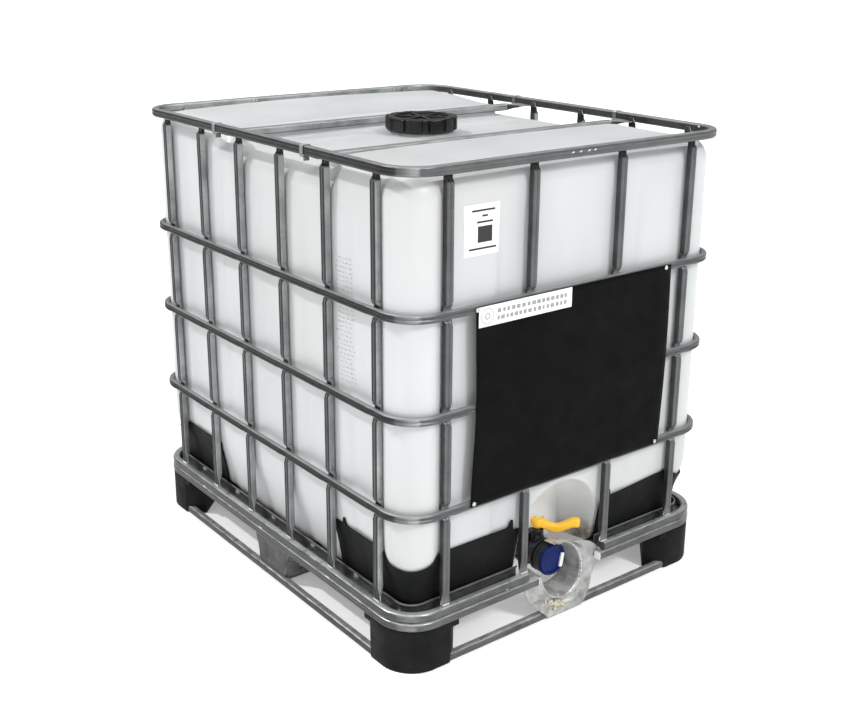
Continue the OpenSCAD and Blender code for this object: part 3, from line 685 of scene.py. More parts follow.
def upright(name, node, place, outward, seed):
    """A tube pressed flat behind each ring, nicked beside it, pinched at its foot, folded in at its top."""
    top, foot = RIM_LOW + 0.012, BAR_FOOT - 0.003
    z = [foot, foot + 0.003, top - 0.003, top]
    z += list(steps(foot + 0.006, foot + 0.052, 0.004)) + list(steps(top - 0.05, top - 0.006, 0.004))
    for ring in RING_Z:
        z += list(steps(ring - 0.036, ring + 0.036, 0.003))
    z += list(steps(foot, top, 0.022))
    z = np.unique(np.round(z, 4))
    pressed = sum(near(z - ring, 0.0115, 0.010) for ring in RING_Z)
    nick = sum(near(np.abs(z - ring) - 0.0215, 0.0012, 0.0035) for ring in RING_Z)
    fold = ease((z - (RIM_LOW - 0.017)) / 0.005)
    pinch = ease((BAR_FOOT + 0.040 - z) / 0.034)
    half = BAR_D / 2
    tuck = ease((z - (RIM_LOW - 0.003)) / 0.003)
    outer = half - half * pressed - 0.0075 * fold - (half - 0.0050) * tuck - 0.0035 * pinch
    inner = -half + 0.0020 * fold + (half + 0.0008) * pinch
    width = 1 + 0.12 * pressed - 0.16 * nick + 0.04 * fold + 0.28 * pinch
    width *= 1 - 0.40 * ease((z - RIM_LOW) / 0.012)
    width *= 1 - 0.55 * ease((foot + 0.008 - z) / 0.008)
    outer = np.maximum(outer, inner + 0.0032)
    section = tube_section(BAR_D, BAR_W, 0.0042, groove=0.0026, groove_half=0.0026)
    t = (section[:, 0] + half) / (2 * half)
    shaped = np.stack([inner[:, None] + (outer - inner)[:, None] * t[None],
                       section[None, :, 1] * width[:, None]], axis=-1)
    shaped[..., 0] -= 0.0012 * nick[:, None] * (t[None] > 0.5)
    lean = 0.0006 * wander(z, 5.0, seed)
    side = np.array([-outward[1], outward[0], 0.0])
    path = np.column_stack([place[0] + side[0] * lean, place[1] + side[1] * lean, z])
    shape = swept(path, (outward[0], outward[1], 0.0), side, shaped)
    return shape.piece(name, M["cage"], "cage_steel", replaces=[node])


def upright_places():
    """Name, node, centre and outward direction of each upright."""
    places = []
    for side, out in (("front", (0, -1)), ("back", (0, 1))):
        for i in range(1, 5):
            node = f"{side}_bar_{i}"
            places.append((node, (middle(node).x, out[1] * (HALF_Y - BAR_INSET)), out))
    for side, out in (("left", (-1, 0)), ("right", (1, 0))):
        for i in range(1, 7):
            node = f"{side}_bar_{i}"
            places.append((node, (out[0] * (HALF_X - BAR_INSET), middle(node).y), out))
    return places


def uprights():
    """The twenty upright bars."""
    for k, (node, place, out) in enumerate(upright_places()):
        upright(f"cage_{node}", node, place, out, 100 + k)


def welds():
    """Beads at the foot of each upright and at the splices of the rings, sprayed with bright zinc."""
    shape = Shape()
    for k, (_, place, out) in enumerate(upright_places()):
        side = np.array([-out[1], out[0], 0.0])
        centre = np.array([place[0] + out[0] * 0.0065, place[1] + out[1] * 0.0065, BAR_FOOT + 0.0005])
        bead(shape, centre - side * 0.011, centre + side * 0.011, 0.0022, k)
        edge = np.array([place[0] + out[0] * 0.003, place[1] + out[1] * 0.003, BAR_FOOT])
        for s in (-1, 1):
            bead(shape, edge + side * s * 0.0125, edge + side * s * 0.0115 + (0, 0, 0.014), 0.0016, 40 + k,
                 normal=(out[0], out[1], 0))
    rim_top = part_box("top_rim")[1].z
    front = -(HALF_Y - 0.0025)
    for k, x in enumerate((-0.045, -0.022, 0.004, 0.022)):
        start, stop = (x, front, RIM_MID + 0.001), (x + 0.009, front, RIM_MID + 0.003)
        bead(shape, start, stop, 0.0021, 80 + k, (0, -1, 0))
    for k, x in enumerate((-0.160, -0.150, 0.338, 0.352, 0.392, 0.402)):
        start, stop = (x, HALF_Y - 0.021, RIM_MID), (x, HALF_Y - 0.021, rim_top - 0.005)
        bead(shape, start, stop, 0.0024, 90 + k, (0, -1, 0))
    for k, y in enumerate((-0.52, -0.505)):
        start, stop = (HALF_X - 0.021, y, RIM_MID + 0.004), (HALF_X - 0.021, y - 0.008, RIM_MID + 0.003)
        bead(shape, start, stop, 0.0024, 97 + k, (-1, 0, 0))
    base_low = middle("cage_base_ring").z
    bead(shape, (-0.201, -HALF_Y + 0.0023, base_low - 0.006), (-0.193, -HALF_Y + 0.0023, base_low - 0.008),
         0.0021, 99, (0, -1, 0))
    for k, y in enumerate((-0.30, 0.02, 0.33)):
        start, stop = (-HALF_X + 0.002, y, DECK_Z), (-HALF_X + 0.002, y + 0.018, DECK_Z)
        bead(shape, start, stop, 0.0018, 110 + k, (-1, 0, 0))
    shape.piece("weld_beads", M["weld"], "zinc_fixings")


# ---------------------------------------------------------------- crossbars and their clips


def crossbar(node, foot_shift):
    """A tube over the bottle whose ends are pressed flat and spread along the rim."""
    low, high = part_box(node)
    end, tube_d = high.x, 0.020
    z_mid, y_mid = low.z + tube_d / 2, (low.y + high.y) / 2
    x = np.r_[steps(-end, -0.42, 0.004), steps(-0.41, 0.41, 0.03), steps(0.42, end, 0.004)]
    flat = ease((np.abs(x) - 0.438) / 0.022)
    section = plain_section(tube_d, tube_d, 0.006)
    height = tube_d + (0.0034 - tube_d) * flat
    spread = 1 + (3.4 - 1) * ease((np.abs(x) - 0.440) / 0.030)
    shaped = np.stack([section[None, :, 0] * spread[:, None],
                       section[None, :, 1] * (height / tube_d)[:, None]], axis=-1)
    shaped[..., 1] += np.sin(shaped[..., 0] * 70) * 0.0006 * flat[:, None]
    path = np.column_stack([x, y_mid + foot_shift * flat, z_mid + (high.z - 0.0018 - z_mid) * flat])
    shape = swept(path, (0, 1, 0), (0, 0, 1), shaped)
    shape.piece(f"{node}_tube", M["cage"], "cage_steel", replaces=[node])


def clips():
    """Bent straps that clamp each flattened end to the rim, with a short tongue under it."""
    shape = Shape()
    low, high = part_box("crossbar_clips")
    strap_w = 0.013
    for sx in (-1, 1):
        for y in (BAR_FRONT_Y + 0.014, BAR_REAR_Y + 0.004):
            x = sx * (high.x - 0.0115)
            ring = plain_section(0.0226, high.z - low.z - 0.0005, 0.0045, 6)
            inner = plain_section(0.0200, high.z - low.z - 0.0032, 0.0034, 6)
            z = (low.z + high.z) / 2
            rows = []
            for outline, dy in ((ring, -0.5), (ring, 0.5), (inner, 0.5), (inner, -0.5)):
                rows.append(np.column_stack([x + outline[:, 0], np.full(len(outline), y + dy * strap_w),
                                             z + outline[:, 1]]))
            shape.grid(np.array(rows), wrap_u=True, wrap_v=True)
            shape.block((x, y - 0.004, low.z - 0.0035), (0.015, 0.004, 0.009), 0.0012)
    shape.piece("crossbar_strap_clips", M["clip"], "zinc_fixings", replaces=["crossbar_clips"])


# ---------------------------------------------------------------- bottle


def wall_inset(z):
    """How far the bottle's wall stands inside its widest outline at a height."""
    heights = np.array([0.130, 0.1306, 0.133, 0.138, 0.146, 0.158, 0.175, 0.21, 0.25, 0.285, 0.31, 0.36])
    insets = np.array([60, 48, 38, 31, 26, 22.5, 20.5, 14.5, 6.5, 1.8, 0.6, 0.0]) / 1000
    return np.interp(z, heights, insets)


def flute(normal, along, z):
    """Outward displacement of the wall: shallow upright panels that fade out at all their edges."""
    fade = ease((z - 0.20) / 0.12) * ease((1.085 - z) / 0.10)
    if abs(normal[0]) > SQUARE:
        period, start = 0.198, 0.030
        wave = np.abs(np.sin(math.pi * (along - start) / period))
        panel = 0.0065 * (wave ** 0.55 - 0.75)
        tilt = 0.0022 * np.sin(2 * math.pi * (along - start) / period)
        return (panel + tilt) * fade * ease((0.46 - abs(along)) / 0.05)
    if abs(normal[1]) > SQUARE:
        step = ease((0.228 - abs(along)) / 0.014)
        crease = near(np.abs(along) - 0.222, 0.001, 0.012)
        panel = 0.0022 * (1 - step) - 0.0030 * step - 0.0012 * crease
        return panel * fade * ease((0.362 - abs(along)) / 0.04)
    return 0.0


def pillow_top(x, y):
    """Height of the bottle's top: two pillows with a lower saddle between the crossbars."""
    front_edge, rear_edge, round_r = BAR_FRONT_Y - 0.019, BAR_REAR_Y + 0.019, 0.075
    side = np.clip(np.abs(x) - (BOTTLE_X - 0.01 - round_r), 0, round_r)
    curve = round_r - np.sqrt(np.clip(round_r ** 2 - side ** 2, 0, None))
    front = ease((front_edge - curve - y) / 0.017 + 0.4)
    rear = ease((y - rear_edge - curve) / 0.020 + 0.4)
    crown = 1 - (x / BOTTLE_X) ** 2
    front_z = 1.1355 + 0.0045 * crown + 0.002 * np.sin(x * 9 + 1) * np.sin(y * 11)
    rear_z = 1.1360 + 0.0050 * crown + 0.0120 * ease((y - 0.24) / 0.2) + 0.0015 * np.sin(x * 7 + 2)
    rib = 0.0028 * near(y - 0.075, 0.012, 0.020) * near(np.abs(x) - 0.26, 0.11, 0.05)
    rib += 0.0028 * near(y + 0.130, 0.012, 0.020) * near(np.abs(x) - 0.26, 0.11, 0.05)
    saddle = SADDLE_Z + rib + 0.002 * np.cos(x * 6)
    return saddle + (front_z - saddle) * front + (rear_z - saddle) * rear


def recess_depth(x, z):
    """Share of the valve recess's full depth at a place on the front wall."""
    above = np.maximum(z - RECESS_ARCH_Z, 0)
    inside = RECESS_HALF - np.sqrt(x * x + above * above)
    return ease(inside / 0.026)


def bottle_columns():
    """Points on the core rectangle with outward normals, round the bottle, and how many each stretch has."""
    fine = np.r_[steps(-CORE_X, -0.150, 0.009), steps(-0.146, 0.146, 0.0042), steps(0.150, CORE_X, 0.009)]
    ys = steps(-CORE_Y, CORE_Y, 0.009)
    arc = np.radians(np.linspace(0, 90, 15)[1:-1])
    columns = []
    for x in fine:
        columns.append(((x, -CORE_Y), (0.0, -1.0)))
    for a in arc:
        columns.append(((CORE_X, -CORE_Y), (math.sin(a), -math.cos(a))))
    for y in ys:
        columns.append(((CORE_X, y), (1.0, 0.0)))
    for a in arc:
        columns.append(((CORE_X, CORE_Y), (math.cos(a), math.sin(a))))
    for x in fine[::-1]:
        columns.append(((x, CORE_Y), (0.0, 1.0)))
    for a in arc:
        columns.append(((-CORE_X, CORE_Y), (-math.sin(a), math.cos(a))))
    for y in ys[::-1]:
        columns.append(((-CORE_X, y), (-1.0, 0.0)))
    for a in arc:
        columns.append(((-CORE_X, -CORE_Y), (-math.cos(a), -math.sin(a))))
    return columns, len(fine), len(ys), len(arc)


def wall_point(core, normal, z, inset):
    """A point of the bottle's outer wall."""
    side, end = abs(normal[0]) > SQUARE, abs(normal[1]) > SQUARE
    along = core[1] if side else core[0]
    swell = 1.0
    if side or end:
        swell = ease((abs(along) - (CORE_Y if side else CORE_X) + 0.034) / 0.034)
    reach = BOTTLE_CORNER - inset + flute(normal, along, z) + BOTTLE_BULGE * swell * ease((z - 0.20) / 0.08)
    x, y = core[0] + normal[0] * reach, core[1] + normal[1] * reach
    if normal[1] < -SQUARE:
        y += recess_depth(x, z) * (RECESS_BACK - y)
    return x, y, z


def bottle():
    """The bottle's wall, its two-pillow top, flat base, filling neck with thread, sump and outlet."""
    columns, nx, ny, na = bottle_columns()
    low_z = np.r_[0.130, 0.1306, 0.133, 0.138, 0.146, steps(0.152, 0.352, 0.0045)]
    turn = np.radians(np.linspace(0, 45, 7)[1:])
    rows = []
    for z in low_z:
        rows.append([wall_point(core, normal, z, wall_inset(z)) for core, normal in columns])
    settle = SHOULDER_R * (1 - math.sin(math.pi / 4))
    edge_z = [pillow_top(c[0] + n[0] * 0.046, c[1] + n[1] * 0.046) - settle for c, n in columns]
    for t in np.linspace(0, 1, 60)[1:]:
        row = []
        for (core, normal), top in zip(columns, edge_z):
            z = low_z[-1] + t * (top - SHOULDER_R * math.sin(math.pi / 4) - low_z[-1])
            row.append(wall_point(core, normal, z, 0.0))
        rows.append(row)
    for a in turn:
        row = []
        for (core, normal), top in zip(columns, edge_z):
            inset = SHOULDER_R * (1 - math.cos(a))
            z = top - SHOULDER_R * (math.sin(math.pi / 4) - math.sin(a))
            row.append(wall_point(core, normal, z, inset))
        rows.append(row)
    shape = Shape()
    wall = np.array(rows)
    shape.grid(wall, wrap_v=True)
    add_bottle_top(shape, wall[-1], nx, ny, na)
    shape.add(wall[0], [tuple(range(len(columns)))[::-1]])
    add_neck(shape)
    add_sump(shape)
    return shape.piece("bottle_shell", M["bottle"], "bottle_polymer", replaces=["bottle"], sharp=60)


def add_bottle_top(shape, border, nx, ny, na):
    """The top as rows across X between the left and right parts of its border."""
    total = len(border)
    right = [nx - 1 + k for k in range(2 * na + ny + 2)]
    left = [(total - k) % total for k in range(2 * na + ny + 2)]
    front = border[:nx]
    back = border[nx + 2 * na + ny:nx + 2 * na + ny + nx][::-1]
    share = (front[:, 0] + CORE_X) / (2 * CORE_X)
    grid = []
    first = SHOULDER_R * (1 - math.cos(math.pi / 4))
    for r, l in zip(right, left):
        a, b = border[l], border[r]
        x = a[0] + (b[0] - a[0]) * share
        y = a[1] + (b[1] - a[1]) * share
        side = np.minimum(x - a[0], b[0] - x)
        end = np.minimum(y - front[:, 1], back[:, 1] - y)
        edge = np.clip(side * end / np.sqrt(side ** 2 + end ** 2 + 1e-9) * 1.12, 0, None) + first
        short = np.clip(SHOULDER_R - edge, 0, None)
        drop = SHOULDER_R - np.sqrt(np.clip(SHOULDER_R ** 2 - short ** 2, 0, None))
        z = pillow_top(x, y) - drop
        row = np.column_stack([x, y, z])
        row[0], row[-1] = a, b
        grid.append(row)
    grid[0] = front
    grid[-1] = back
    grid = np.array(grid)
    faces = []
    n, m = grid.shape[:2]
    neck_r = 0.0775
    for i in range(n - 1):
        for j in range(m - 1):
            quad = (i * m + j, i * m + j + 1, (i + 1) * m + j + 1, (i + 1) * m + j)
            centre = (grid[i, j] + grid[i + 1, j + 1]) / 2
            if math.hypot(centre[0], centre[1]) > neck_r:
                faces.append(quad)
    shape.add(grid.reshape(-1, 3), faces)


def add_neck(shape):
    """Filling neck with a fillet at its foot and a coarse thread."""
    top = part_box("bottle")[1].z
    profile = [(0.0915, SADDLE_Z + 0.0002), (0.0860, SADDLE_Z + 0.0012), (0.0820, SADDLE_Z + 0.0042)]
    profile += [(NECK_R, SADDLE_Z + z) for z in (0.009, 0.012)]
    profile += [(NECK_R, z) for z in steps(SADDLE_Z + 0.013, top - 0.003, 0.0012)]
    profile += [(NECK_R - 0.0006, top - 0.001), (NECK_R - 0.002, top), (NECK_BORE + 0.001, top)]
    profile += [(NECK_BORE, top - 0.001), (NECK_BORE, SADDLE_Z - 0.006)]

    def threaded(angle, radius, height):
        phase = (height - SADDLE_Z - 0.013) / NECK_PITCH - angle / (2 * math.pi)
        ridge = np.clip(1 - np.abs((phase % 1) - 0.5) / 0.2, 0, 1) * 0.0022
        lies = (radius >= NECK_R - 1e-6) & (height > SADDLE_Z + 0.014) & (height < top - 0.005)
        return np.where(lies, radius + ridge, radius)

    shape.grid(turned(profile, (0, 0, 0), count=120, radius_of=threaded), wrap_u=True, flip=True)


def add_sump(shape):
    """The trough under the base that the outlet drains, and the outlet stub."""
    sump_r, end, stub_r = 0.038, -0.340, 0.034
    run = -RECESS_BACK + end
    profile = [(0.001, 0.0), (sump_r - 0.008, 0.0), (sump_r - 0.002, 0.003), (sump_r, 0.008)]
    profile += [(sump_r, run - 0.004), (sump_r - 0.003, run), (stub_r + 0.002, run + 0.001)]
    profile += [(stub_r, run + 0.004), (stub_r, run + 0.014), (stub_r - 0.009, run + 0.015)]
    profile += [(stub_r - 0.009, run - 0.05)]
    shape.spun(profile, (0, end, OUTLET_Z), axis="Y", count=72)


def side_marks():
    """Faint graduation dashes printed up the left wall."""
    shape = Shape()
    local = np.random.default_rng(5)
    for z in np.arange(0.64, 0.93, 0.0105):
        y = -0.373 + (z - 0.64) * 0.05
        stop = y + float(local.uniform(0.042, 0.058))
        while y < stop:
            length = float(local.uniform(0.003, 0.011))
            wall = -BOTTLE_X - flute((-1.0, 0.0), y + length / 2, z) - 0.0006
            rise = float(local.uniform(-0.002, 0.002))
            corners = ((0, -0.0009), (1, -0.0009 + rise), (1, 0.0009 + rise), (0, 0.0009))
            shape.add([(wall, y + a * length, z + b) for a, b in corners], [(0, 1, 2, 3)])
            y += length + float(local.uniform(0.002, 0.006))
    shape.piece("graduation_marks", M["mark_ink"], "label_white")


def wall_patch(shape, x0, x1, z0, z1, lift):
    """A thin film that follows the bottle's front wall."""
    xs, zs = steps(x0, x1, 0.004), steps(z0, z1, 0.004)
    grid = np.array([[(x, -BOTTLE_Y - flute((0.0, -1.0), x, z) - lift, z) for x in xs] for z in zs])
    shape.grid(grid)


def sticker():
    """A plain sticker with bars and a square, on the bottle's front wall."""
    paper, ink = Shape(), Shape()
    wall_patch(paper, -0.322, -0.221, 0.949, 1.060, 0.0006)
    wall_patch(ink, -0.284, -0.244, 0.977, 1.012, 0.0010)
    for x0, x1, z in ((-0.286, -0.242, 1.019), (-0.300, -0.236, 1.044), (-0.272, -0.256, 1.032),
                      (-0.308, -0.232, 0.962)):
        wall_patch(ink, x0, x1, z, z + 0.004, 0.0010)
    paper.piece("bottle_sticker", M["paper"], "label_white")
    ink.piece("bottle_sticker_print", M["ink"], "plate_black")


# ---------------------------------------------------------------- lid


def lid():
    """Screw lid: lugged skirt with upright ribs, chamfered rim, sunk face with cross ribs."""
    low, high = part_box("lid")
    skirt_r, lug_r, top, foot = 0.087, 0.0918, high.z, low.z
    profile = [(0.0835, foot + 0.001), (0.0835, foot), (skirt_r - 0.001, foot), (skirt_r, foot + 0.001)]
    profile += [(skirt_r, z) for z in steps(foot + 0.003, top - 0.0035, 0.0022)]
    profile += [(skirt_r - 0.0005, top - 0.002), (skirt_r - 0.0015, top - 0.0006), (skirt_r - 0.003, top)]
    profile += [(0.0705, top), (0.0690, top - 0.0005), (0.0680, top - 0.0040), (0.066, top - 0.0046)]
    profile += [(r, top - 0.0046) for r in (0.05, 0.03, 0.012, 0.0005)]

    def lugged(angle, radius, height):
        turn = (angle * 12 / (2 * math.pi)) % 1
        lug = ease((0.31 - np.abs(turn - 0.5)) / 0.035)
        ribs = 0.0009 * (0.5 + 0.5 * np.cos(angle * 96)) * (1 - lug)
        grip = 0.0006 * (0.5 + 0.5 * np.cos(angle * 144)) * lug
        side = (radius > skirt_r - 0.0035) & (height > foot + 0.002)
        level = ease((height - foot - 0.003) / 0.002)
        return np.where(side, radius + ((lug_r - skirt_r) * lug + grip + ribs) * level, radius)

    shape = Shape()
    shape.grid(turned(profile, (0, 0, 0), count=576, radius_of=lugged), wrap_u=True, flip=True)
    inner = [(0.0835, foot + 0.001), (0.0835, top - 0.008), (0.075, top - 0.008), (0.001, top - 0.008)]
    shape.spun(inner, (0, 0, 0), count=96)
    for a in range(3):
        shape.block((0, 0, top - 0.0030), (0.133, 0.009, 0.0034), 0.0012, math.radians(60 * a + 15))
    for a in np.radians(np.arange(12) * 30 + 15):
        place = (0.0745 * math.cos(a), 0.0745 * math.sin(a), top - 0.0006)
        shape.block(place, (0.005, 0.012, 0.0012), 0.0005, a)
    shape.piece("lid_screw_cap", M["lid"], "lid_black", body="lid", replaces=["lid"])


def ring_seal(name, node, body, axis, count=96):
    """A seal ring with round edges that fills its CAD node."""
    low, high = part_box(node)
    if axis == "Z":
        outer, inner, start, end, centre = high.x, NECK_BORE, low.z, high.z, (0, 0, 0)
    else:
        outer, inner, start, end, centre = high.x, OUTLET_BORE, -high.y, -low.y, (0, 0, OUTLET_Z)
    r, edge = outer - 0.0004, 0.0008
    profile = [(inner + 0.0004, start + edge), (inner + edge, start + 0.0002), (r - edge, start + 0.0002)]
    profile += [(r, start + edge), (r, end - edge), (r - edge, end - 0.0002), (inner + edge, end - 0.0002)]
    profile += [(inner + 0.0004, end - edge)]
    shape = Shape()
    shape.grid(turned(profile, centre, axis=axis, count=count), wrap_u=True, wrap_v=True)
    shape.piece(name, M["seal"], "seal_rubber", body=body, replaces=[node])


# ---------------------------------------------------------------- valve


def barrel(profile, y_start):
    """Profile given as (radius, distance towards the front from y_start), for turned() about the outlet."""
    return [(r, -y_start + d) for r, d in profile]


def valve_nut():
    """Union nut with lugs and fine grip ribs."""
    low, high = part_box("valve_nut")
    start, depth, nut_r = high.y, high.y - low.y, 0.0448
    profile = [(0.0375, 0.001), (nut_r - 0.003, 0.0), (nut_r - 0.001, 0.0008), (nut_r, 0.003)]
    profile += [(nut_r, d) for d in steps(0.005, depth - 0.006, 0.002)]
    profile += [(nut_r - 0.0012, depth - 0.003), (nut_r - 0.004, depth - 0.0008), (nut_r - 0.006, depth)]
    profile += [(0.0336, depth)]

    def lugs(angle, radius, _):
        turn = (angle * 8 / (2 * math.pi)) % 1
        lug = ease((0.16 - np.abs(turn - 0.5)) / 0.05) * 0.0020
        rib = 0.0006 * (0.5 + 0.5 * np.cos(angle * 80))
        return np.where(radius > nut_r - 0.0015, radius + lug + rib, radius)

    shape = Shape()
    shape.spun(barrel(profile, start), (0, 0, OUTLET_Z), "Y", 400, lugs)
    shape.piece("valve_union_nut", M["valve"], "valve_black", replaces=["valve_nut"])


def valve_body():
    """Barrel with shoulder flange, threaded spout, stem tower and ribs."""
    low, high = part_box("valve_body")
    start, end = high.y, -low.y
    face = -start
    profile = [(OUTLET_BORE, face + 0.001), (0.0362, face + 0.0002), (0.0370, face + 0.001)]
    profile += [(0.0370, face + 0.0035), (0.0334, face + 0.0045), (0.0330, 0.4800), (0.0345, 0.4850)]
    profile += [(0.0345, 0.5010), (0.0390, 0.5030)]
    profile += [(0.0412, 0.5040), (0.0420, 0.5050), (0.0420, 0.5095), (0.0410, 0.5108), (0.0335, 0.5112)]
    profile += [(0.0318, y) for y in steps(0.5125, end - 0.002, 0.0008)]
    profile += [(0.0312, end - 0.0006), (0.0300, end), (0.0262, end), (OUTLET_BORE, end - 0.001)]
    profile += [(OUTLET_BORE, face + 0.001)]

    def threaded(angle, radius, height):
        phase = (height - 0.5125) / OUTLET_PITCH - angle / (2 * math.pi)
        ridge = np.clip(1 - np.abs((phase % 1) - 0.5) / 0.22, 0, 1) * 0.0011
        lies = (np.abs(radius - 0.0318) < 1e-6) & (height > 0.513) & (height < end - 0.0025)
        flange = (radius > 0.0385) & (height > 0.502)
        scallop = 0.0006 * np.cos(angle * 32)
        return radius + np.where(lies, ridge, 0) + np.where(flange, scallop, 0)

    shape = Shape()
    shape.spun(profile, (0, 0, OUTLET_Z), "Y", 160, threaded)
    top = high.z
    tower = [(0.0001, top), (0.0115, top), (0.0132, top - 0.0008), (0.0140, top - 0.003)]
    tower += [(0.0140, top - 0.014), (0.0124, top - 0.016), (0.0124, top - 0.020), (0.0140, top - 0.022)]
    tower += [(0.0142, OUTLET_Z + 0.036), (0.0170, OUTLET_Z + 0.028), (0.0180, OUTLET_Z + 0.020)]
    shape.spun(tower, (0, STEM_Y, 0), "Z", 64)
    foot = [(0.0100, OUTLET_Z - 0.030), (0.0100, low.z + 0.0015), (0.0085, low.z), (0.0001, low.z)]
    shape.spun(foot, (0, STEM_Y, 0), "Z", 48)
    for s in (-1, 1):
        shape.block((s * 0.0145, STEM_Y, OUTLET_Z + 0.040), (0.012, 0.0035, 0.030), 0.0012)
    shape.piece("valve_housing", M["valve"], "valve_black", replaces=["valve_body"])


def valve_inside():
    """Butterfly disc and stem."""
    disc_r = 0.0242
    profile = [(0.0002, 0.0026), (0.012, 0.0026), (0.021, 0.0018), (disc_r, 0.0008), (disc_r, -0.0008)]
    profile += [(0.021, -0.0018), (0.012, -0.0026), (0.0002, -0.0026)]
    disc = turned(profile, (0, 0, 0), "Y", 72)
    hub = [(0.0002, 0.0195), (0.0070, 0.0195), (0.0078, 0.0185)]
    hub += [(r, -z) for r, z in reversed(hub)]
    post = turned(hub, (0, 0, 0), "Z", 32)
    spin = np.array(Matrix.Rotation(HANDLE_REST, 3, "Z"))
    shape = Shape()
    for grid in (disc, post):
        shape.grid(grid @ spin.T + np.array([0, STEM_Y, OUTLET_Z]), wrap_u=True)
    shape.piece("valve_butterfly", M["valve"], "valve_black", body="valve_handle", replaces=["valve_disc"])
    low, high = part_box("valve_stem")
    r = 0.0049
    rod = [(0.0001, low.z), (r - 0.0008, low.z), (r, low.z + 0.0008), (r, high.z - 0.001)]
    rod += [(r - 0.001, high.z), (0.0026, high.z), (0.0026, high.z - 0.002), (0.0001, high.z - 0.002)]
    stem = Shape()
    stem.spun(rod, (0, STEM_Y, 0), "Z", 40)
    stem.piece("valve_spindle", M["zinc"], "zinc_fixings", body="valve_handle", replaces=["valve_stem"])


def handle():
    """Lever: a round hub that flows into a wavy grip, thick at the hub and at the tip."""
    reach, mid_z = 0.1055, 0.203
    s = np.r_[steps(-0.0185, -0.010, 0.0012), steps(-0.008, reach - 0.010, 0.0035),
              steps(reach - 0.008, reach, 0.001)]
    hub_round = np.sqrt(np.clip(1 - (np.clip(-s, 0, 0.0186) / 0.0187) ** 2, 0.003, 1))
    tip_round = np.sqrt(np.clip(1 - (np.clip(s - reach + 0.0095, 0, 0.0095) / 0.0096) ** 2, 0.003, 1))
    width = 0.0215 + 0.0150 * ease((0.022 - s) / 0.024) - 0.002 * near(s - 0.046, 0.006, 0.025)
    height = 0.0235 - 0.0015 * ease((0.016 - s) / 0.02) + 0.0010 * ease((s - 0.07) / 0.03)
    dip = 0.002 - 0.0165 * np.sin(math.pi * np.clip((s - 0.004) / (reach - 0.022), 0, 1)) ** 1.4
    section = plain_section(1.0, 1.0, 0.30, 6)
    ends = hub_round * tip_round
    shaped = np.stack([section[None, :, 0] * (width * ends)[:, None],
                       section[None, :, 1] * (height * (0.55 + 0.45 * ends))[:, None]], axis=-1)
    path = np.column_stack([s, np.zeros_like(s), dip])
    spin = np.array(Matrix.Rotation(HANDLE_REST, 3, "Z"))
    base = np.array([0, STEM_Y, mid_z])
    level = swept(path, (0, 1, 0), (0, 0, 1), shaped)
    shape = Shape()
    shape.add(level.points() @ spin.T + base, level.faces)
    collar = [(0.0112, -0.0108), (0.0138, -0.0104), (0.0146, -0.0090), (0.0146, 0.0060), (0.0138, 0.0092)]
    collar += [(0.0120, 0.0100), (0.0068, 0.0100), (0.0064, 0.0094)]
    shape.spun(collar, base, "Z", 64)
    shape.piece("valve_lever", M["handle"], "handle_yellow", body="valve_handle", replaces=["valve_handle"])
    marks = Shape()
    for x, y, turn in ((0.013, 0.0085, 0.3), (0.004, 0.0152, 0.9)):
        spot = np.array([x, y, 0.0090 if x > 0.01 else 0.0]) @ spin.T + base
        marks.block(spot, (0.0045, 0.0030, 0.0040), 0.0008, turn)
    marks.piece("valve_lever_stops", M["valve"], "valve_black", body="valve_handle")


def screw_head(shape, centre, axis, radius, height, sides=0):
    """A pan or hex head with a driving recess; sides makes it a hexagon."""
    profile = [(0.0002, height * 0.55), (radius * 0.32, height * 0.55), (radius * 0.36, height * 0.97)]
    profile += [(radius * 0.55, height), (radius * 0.84, height * 0.92), (radius * 0.97, height * 0.62)]
    profile += [(radius, height * 0.3), (radius, 0.0)]

    def hexed(angle, r, _):
        if not sides:
            return np.broadcast_to(r, np.broadcast(angle, r).shape)
        wedge = math.pi / sides
        flat = math.cos(wedge) / np.cos((angle % (2 * wedge)) - wedge)
        return np.where(r > radius * 0.8, r * flat, r)

    shape.spun(profile, centre, axis, 36, hexed)


def handle_screw():
    """Pan-head screw on top of the lever's hub."""
    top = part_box("handle_screw")[1].z
    shape = Shape()
    screw_head(shape, (0, STEM_Y, top - 0.004), "Z", 0.0059, 0.004)
    shape.piece("valve_lever_screw", M["zinc"], "zinc_fixings", body="valve_handle",
                replaces=["handle_screw"])


